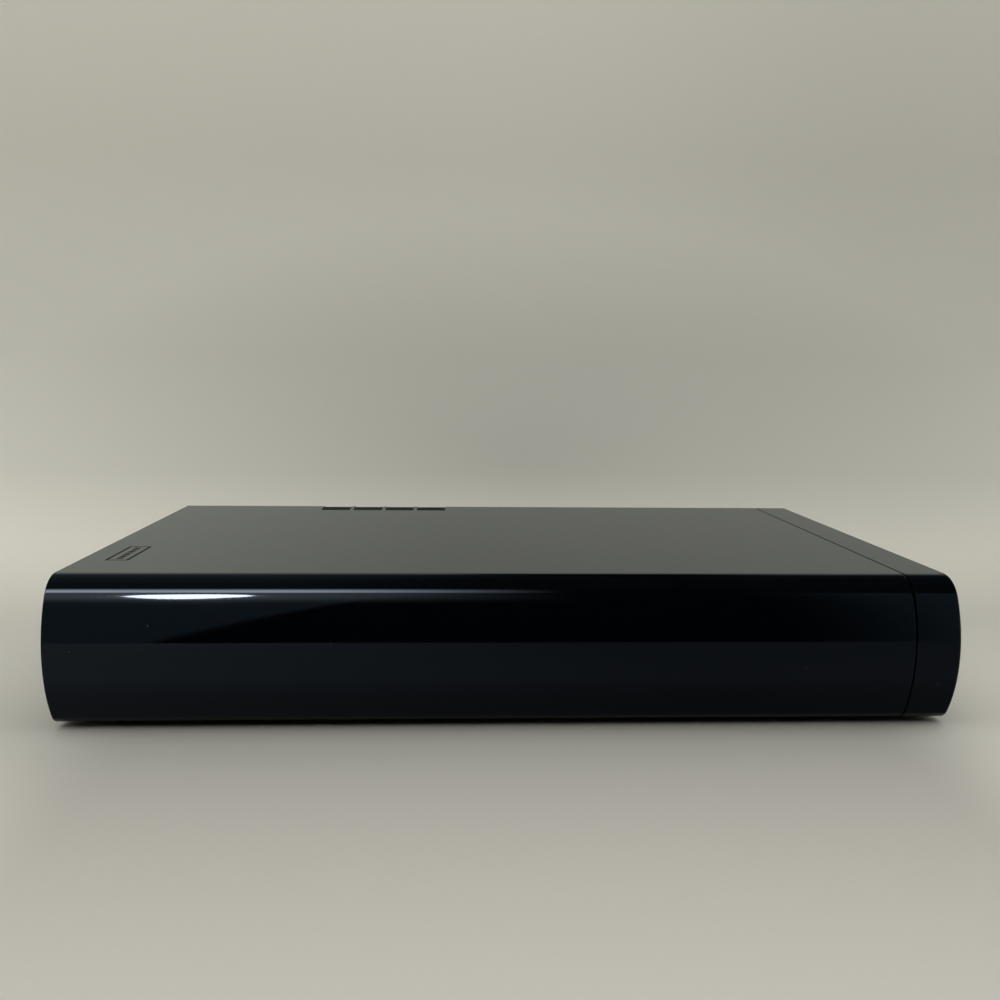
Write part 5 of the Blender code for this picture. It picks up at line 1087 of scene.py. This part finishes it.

# How the paper's painted light and shade change, as a Map Range node's inputs: the two places, then the two
# levels
# Painted shadow on the floor in front of the console and painted light behind it; the paper painted darker
# from the floor up the wall's lower part and lighter again higher up, and painted dimmer towards the front
PAPER_NEAR_SHADOW = {1: -210 * MM, 2: -100 * MM, 3: 0, 4: 1}
PAPER_FAR_LIGHT = {1: -120 * MM, 2: 250 * MM, 3: 0, 4: 1}
PAPER_FOOT = {1: 0, 2: 30 * MM, 3: 1, 4: 0.87}
PAPER_UPPER = {1: 30 * MM, 2: 120 * MM, 3: 0, 4: 0.1}
PAPER_CROWN = {1: 150 * MM, 2: 450 * MM, 3: 0, 4: 0.13}
PAPER_SIDE = {1: -420 * MM, 2: 0, 3: 0.88, 4: 1}
PAPER_PAINTED_SHADE = {1: 0, 2: 1, 3: 1, 4: 0.62}
# Painted light: in front of the console, the floor beyond its ends is painted lighter, where its shadow
# stops
BESIDE_CASE = {1: 105 * MM, 2: 150 * MM, 3: 0, 4: 1}
LEVEL_WITH_CASE = {1: 70 * MM, 2: -75 * MM, 3: 0, 4: 1}
BESIDE_PAINTED_LIGHT = {1: -130 * MM, 2: 130 * MM, 3: 0.52, 4: 0.32}


def blank(name):
    """A material with nothing but its output."""
    finish = bpy.data.materials.new(name)
    finish.use_nodes = True
    tree = finish.node_tree
    tree.nodes.remove(tree.nodes["Principled BSDF"])
    return finish, tree, tree.nodes["Material Output"].inputs["Surface"]


def make_stage():
    """Pale paper with painted light and shade: bright behind the console but for a soft painted shade, and
    painted darker in front of it, as the console's shadow.
    """
    paper, tree, surface = blank("pale_paper")
    place = add(tree, "TexCoord", {}, {})["Object"]
    parts = add(tree, "SeparateXYZ", {}, {"Vector": place})
    near = add(tree, "MapRange", {}, {"Value": parts["X"], **PAPER_NEAR_SHADOW})["Result"]
    colours = {"Fac": near, "Color1": srgb("#dddad5"), "Color2": srgb("#bcbbb4")}
    tone = add(tree, "MixRGB", {}, colours)["Color"]
    far = add(tree, "MapRange", SMOOTH, {"Value": parts["X"], **PAPER_FAR_LIGHT})["Result"]
    tone = add(tree, "MixRGB", {}, {"Fac": far, "Color1": tone, "Color2": srgb("#f0efe6")})["Color"]
    foot = add(tree, "MapRange", {}, {"Value": parts["Z"], **PAPER_FOOT})["Result"]
    upper = add(tree, "MapRange", {}, {"Value": parts["Z"], **PAPER_UPPER})["Result"]
    crown = add(tree, "MapRange", {}, {"Value": parts["Z"], **PAPER_CROWN})["Result"]
    height = add(tree, "Math", {"operation": "SUBTRACT"}, {0: foot, 1: upper})["Value"]
    height = add(tree, "Math", {"operation": "ADD"}, {0: height, 1: crown})["Value"]
    side = add(tree, "MapRange", SMOOTH, {"Value": parts["Y"], **PAPER_SIDE})["Result"]
    # Painted light on the floor beside the console's ends, in front of it
    apart = add(tree, "Math", {"operation": "ABSOLUTE"}, {0: parts["Y"]})["Value"]
    beside = add(tree, "MapRange", SMOOTH, {"Value": apart, **BESIDE_CASE})["Result"]
    level_with = add(tree, "MapRange", SMOOTH, {"Value": parts["X"], **LEVEL_WITH_CASE})["Result"]
    gain = add(tree, "MapRange", {}, {"Value": parts["Y"], **BESIDE_PAINTED_LIGHT})["Result"]
    gain = add(tree, "Math", {"operation": "MULTIPLY"}, {0: gain, 1: beside})["Value"]
    painted_lift = add(tree, "Math", {"operation": "MULTIPLY_ADD"}, {0: gain, 1: level_with, 2: 1})["Value"]
    # The painted shadow behind the console, darkest at the ball's middle and fading out to its reach
    moved = [-middle / reach for middle, reach in zip(PAINTED_SHADE_PLACE, PAINTED_SHADE_REACH)]
    shares = [1 / reach for reach in PAINTED_SHADE_REACH]
    ball = add(tree, "Mapping", {}, {"Vector": place, "Location": moved, "Scale": shares})["Vector"]
    depth = add(tree, "TexGradient", {"gradient_type": "SPHERICAL"}, {"Vector": ball})["Fac"]
    shade = add(tree, "MapRange", {}, {"Value": depth, **PAPER_PAINTED_SHADE})["Result"]
    level = height
    for factor in (side, painted_lift, shade):
        level = add(tree, "Math", {"operation": "MULTIPLY"}, {0: level, 1: factor})["Value"]
    shaded = add(tree, "VectorMath", {"operation": "SCALE"}, {0: tone, "Scale": level})["Vector"]
    tree.links.new(add(tree, "BsdfDiffuse", {}, {"Color": shaded})["BSDF"], surface)
    corner = arc((WALL_X - SWEEP_RADIUS, SWEEP_RADIUS), SWEEP_RADIUS, -90, 0, 3 * CORNER_STEPS)
    outline = [(-FLOOR_HALF, 0), *corner, (WALL_X, WALL_HEIGHT), (WALL_X + SWEEP_RADIUS, WALL_HEIGHT)]
    outline += [(WALL_X + SWEEP_RADIUS, -SWEEP_RADIUS), (-FLOOR_HALF, -SWEEP_RADIUS)]
    floor = slab("studio_floor", outline, 1, -FLOOR_HALF, FLOOR_HALF)
    floor.data.materials.append(paper)
    take(floor)
    bpy.ops.object.shade_smooth_by_angle(angle=math.radians(SMOOTH_DEGREES))


def limit(piece, finish, *seen_by):
    """Give a piece of the stage its material and leave it to some kinds of ray alone."""
    piece.data.materials.append(finish)
    for ray in ("camera", "diffuse", "glossy", "transmission", "volume_scatter", "shadow"):
        setattr(piece, "visible_" + ray, ray in seen_by)


FLAG_X = -285 * MM
FLAG_HALF = 1500 * MM
FLAG_FOOT = 16 * MM
FLAG_HEIGHT = 640 * MM
ROOF_NEAR = (220 * MM, FLAG_HEIGHT)
ROOF_FAR = (300 * MM, 270 * MM)
GLOW_LINE = 172 * MM
GLOW_SLOPE = 0.555
# Where the flag's painted light lies: beyond a slanted line on its left, towards its right end, and weaker
# on its roof
FLAG_LEFT = {1: GLOW_LINE - 5 * MM, 2: GLOW_LINE + 5 * MM, 3: 0, 4: 1}
FLAG_RIGHT = {1: -150 * MM, 2: -270 * MM, 3: 0, 4: 1}
FLAG_ROOF = {1: -20 * MM, 2: 180 * MM, 3: 0.1, 4: 0.5}
FLAG_UNDER = {1: 280 * MM, 2: 360 * MM, 3: 1}


def make_flag():
    """A dark glowing sheet in place of cloth, which only reflections see: a painted reflection of an unlit
    room, with dim painted light at both ends. The near side mirrors it.
    """
    flag_glow, tree, surface = blank("black_flag")
    parts = add(tree, "SeparateXYZ", {}, {"Vector": add(tree, "TexCoord", {}, {})["Object"]})
    slanted = {0: parts["Z"], 1: GLOW_SLOPE, 2: parts["Y"]}
    height = add(tree, "Math", {"operation": "MULTIPLY_ADD"}, slanted)["Value"]
    left = add(tree, "MapRange", {}, {"Value": height, **FLAG_LEFT})["Result"]
    right = add(tree, "MapRange", SMOOTH, {"Value": parts["Y"], **FLAG_RIGHT})["Result"]
    glow = add(tree, "Math", {"operation": "MAXIMUM"}, {0: left, 1: right})["Value"]
    roof = add(tree, "MapRange", {}, {"Value": parts["Y"], **FLAG_ROOF})["Result"]
    under = add(tree, "MapRange", {}, {"Value": parts["Z"], **FLAG_UNDER, 4: roof})["Result"]
    share = add(tree, "Math", {"operation": "MULTIPLY"}, {0: glow, 1: under})["Value"]
    colours = {"Fac": share, "Color1": srgb("#161a1f"), "Color2": srgb("#97a8af")}
    tone = add(tree, "MixRGB", {}, colours)["Color"]
    tree.links.new(add(tree, "Emission", {}, {"Color": tone, "Strength": 1})["Emission"], surface)
    outline = [(FLAG_X, FLAG_FOOT), (FLAG_X, FLAG_HEIGHT), ROOF_NEAR, ROOF_FAR]
    outline += [(x - PAST, z + PAST) for x, z in reversed(outline)]
    limit(slab("black_flag", outline, 1, -FLAG_HALF, FLAG_HALF), flag_glow, "glossy")


# The wall's foot and the near floor as the gloss mirrors them, glowing with painted light: name, corners,
# colour, and how the light changes along two axes. Both grow brighter towards the rear. The wall grows
# brighter upwards, and the floor is painted dim beside the console, as its shadow.
GLOWS = (
    (
        "wall_glow",
        (ROOF_FAR[0], -FLAG_HALF, MM),
        (ROOF_FAR[0] + MM, FLAG_HALF, ROOF_FAR[1] + MM),
        "#fcfff2",
        ("Y", {1: 20 * MM, 2: 220 * MM, 3: 0.8, 4: 1}),
        ("Z", {1: 76 * MM, 2: 193 * MM, 3: 0.375, 4: 0.59}),
    ),
    (
        "floor_glow",
        (-2500 * MM, -FLAG_HALF, 0.1 * MM),
        (-80 * MM, FLAG_HALF, 0.2 * MM),
        "#f6fbff",
        ("Y", {1: -60 * MM, 2: 180 * MM, 3: 0.35, 4: 0.7}),
        ("X", {1: -80 * MM, 2: -108 * MM, 3: 0.3, 4: 1}),
    ),
)


def make_glow(name, low, high, colour, *changes):
    """A sheet for reflections alone, whose light changes along the axes."""
    glow, tree, surface = blank(name)
    parts = add(tree, "SeparateXYZ", {}, {"Vector": add(tree, "TexCoord", {}, {})["Object"]})
    power = 1
    for axis, change in changes:
        level = add(tree, "MapRange", {}, {"Value": parts[axis], **change})["Result"]
        power = add(tree, "Math", {"operation": "MULTIPLY"}, {0: level, 1: power})["Value"]
    shine = add(tree, "Emission", {}, {"Color": srgb(colour), "Strength": power})["Emission"]
    tree.links.new(shine, surface)
    limit(block(name, low, high), glow, "glossy")


ROOM_NEAR = -1200 * MM
ROOM_WALL = 10 * MM
ROOM_HEIGHT = 950 * MM


def make_dark_room():
    """The unlit room behind the camera, which keeps light from the floor's near side."""
    dark, tree, surface = blank("unlit_room")
    shader = add(tree, "BsdfDiffuse", {}, {"Color": srgb("#15171a")})["BSDF"]
    tree.links.new(shader, surface)
    low = (ROOM_NEAR - ROOM_WALL, -FLOOR_HALF, MM)
    room = block("unlit_room", low, (ROOM_NEAR, FLOOR_HALF, ROOM_HEIGHT))
    limit(room, dark, "diffuse", "glossy", "shadow")


WORLD_STRENGTH = 1.15


def make_world():
    """An even pale light. Where it is seen, and not only lights the stage, it looks like the paper."""
    world = bpy.data.worlds.new("pale_room")
    bpy.context.scene.world = world
    world.use_nodes = True
    tree = world.node_tree
    ray = add(tree, "LightPath", {}, {})
    seen = add(tree, "Math", {"operation": "MAXIMUM"}, {0: ray["Is Camera Ray"], 1: ray["Is Glossy Ray"]})
    seen = add(tree, "Math", {"operation": "MAXIMUM"}, {0: seen["Value"], 1: ray["Is Transmission Ray"]})
    colours = {"Fac": seen["Value"], "Color1": srgb("#f6f5f1"), "Color2": srgb("#bcbbb2")}
    sky = tree.nodes["Background"]
    tree.links.new(add(tree, "MixRGB", {}, colours)["Color"], sky.inputs["Color"])
    sky.inputs["Strength"].default_value = WORLD_STRENGTH


WINDOW_LOW = (FLAG_X + MM, -85 * MM, 160 * MM)
WINDOW_HIGH = (FLAG_X + 2 * MM, 500 * MM, 610 * MM)
WINDOW_ALONG = {1: -70 * MM, 2: 165 * MM, 3: 0, 4: 1}
WINDOW_SKIRT = {1: 165 * MM, 2: 215 * MM, 3: 0, 4: 1.1}
WINDOW_LINE = {1: 315 * MM, 2: 360 * MM, 3: 0, 4: 7.5}
WINDOW_FALL = {1: 380 * MM, 2: 600 * MM, 3: 1, 4: 0.05}


def make_window_light():
    """A long window for reflections alone: a dim skirt, a bright line and a soft fall above it."""
    glow, tree, surface = blank("window_light")
    parts = add(tree, "SeparateXYZ", {}, {"Vector": add(tree, "TexCoord", {}, {})["Object"]})
    along = add(tree, "MapRange", SMOOTH, {"Value": parts["Y"], **WINDOW_ALONG})["Result"]
    skirt = add(tree, "MapRange", SMOOTH, {"Value": parts["Z"], **WINDOW_SKIRT})["Result"]
    line = add(tree, "MapRange", SMOOTH, {"Value": parts["Z"], **WINDOW_LINE})["Result"]
    fall = add(tree, "MapRange", SMOOTH, {"Value": parts["Z"], **WINDOW_FALL})["Result"]
    power = add(tree, "Math", {"operation": "ADD"}, {0: skirt, 1: line})["Value"]
    for factor in (fall, along):
        power = add(tree, "Math", {"operation": "MULTIPLY"}, {0: power, 1: factor})["Value"]
    shine = add(tree, "Emission", {}, {"Color": srgb("#ffffff"), "Strength": power})["Emission"]
    clear = add(tree, "BsdfTransparent", {}, {})["BSDF"]
    tree.links.new(add(tree, "AddShader", {}, {0: clear, 1: shine})["Shader"], surface)
    limit(block("window_light", WINDOW_LOW, WINDOW_HIGH), glow, "glossy")


TUBE_PLACE = (164.5 * MM, 232 * MM)
TUBE_HALVES = (35 * MM, 38 * MM)
TUBE_X = FLAG_X + 5 * MM
TUBE_STRENGTH = 85


def make_tube_light():
    """A short tube for reflections alone."""
    bright, tree, surface = blank("tube_light")
    shine = add(tree, "Emission", {}, {"Color": srgb("#ffffff"), "Strength": TUBE_STRENGTH})["Emission"]
    tree.links.new(shine, surface)
    y, z = TUBE_PLACE
    lens = [(y + u * TUBE_HALVES[0], z + v * TUBE_HALVES[1]) for u, v in circle((0, 0), 1)]
    limit(slab("tube_light", lens, 0, TUBE_X, TUBE_X + MM), bright, "glossy")


# The camera stands off the left side and a little above it.
EYE = (-364.5 * MM, 17.96 * MM, 105.2 * MM)
EYE_TURN = math.radians(-2.869)
EYE_TILT = math.radians(-7.28)
EYE_ROLL = math.radians(0.641)
EYE_LENS = 35.54


def make_camera():
    turn = Matrix.Rotation(EYE_TURN - math.pi / 2, 3, "Z")
    tilt = Matrix.Rotation(math.pi / 2 + EYE_TILT, 3, "X")
    roll = Matrix.Rotation(EYE_ROLL, 3, "Z")
    bpy.ops.object.camera_add(location=EYE, rotation=(turn @ tilt @ roll).to_euler())
    camera = bpy.context.object
    camera.name = "camera"
    camera.data.lens = EYE_LENS
    camera.data.sensor_width = 36
    camera.data.clip_start = MM
    bpy.context.scene.camera = camera


make_stage()
make_flag()
for glow in GLOWS:
    make_glow(*glow)
make_dark_room()
make_world()
make_window_light()
make_tube_light()
take(None)
make_camera()

bpy.context.scene.view_settings.view_transform = "Standard"
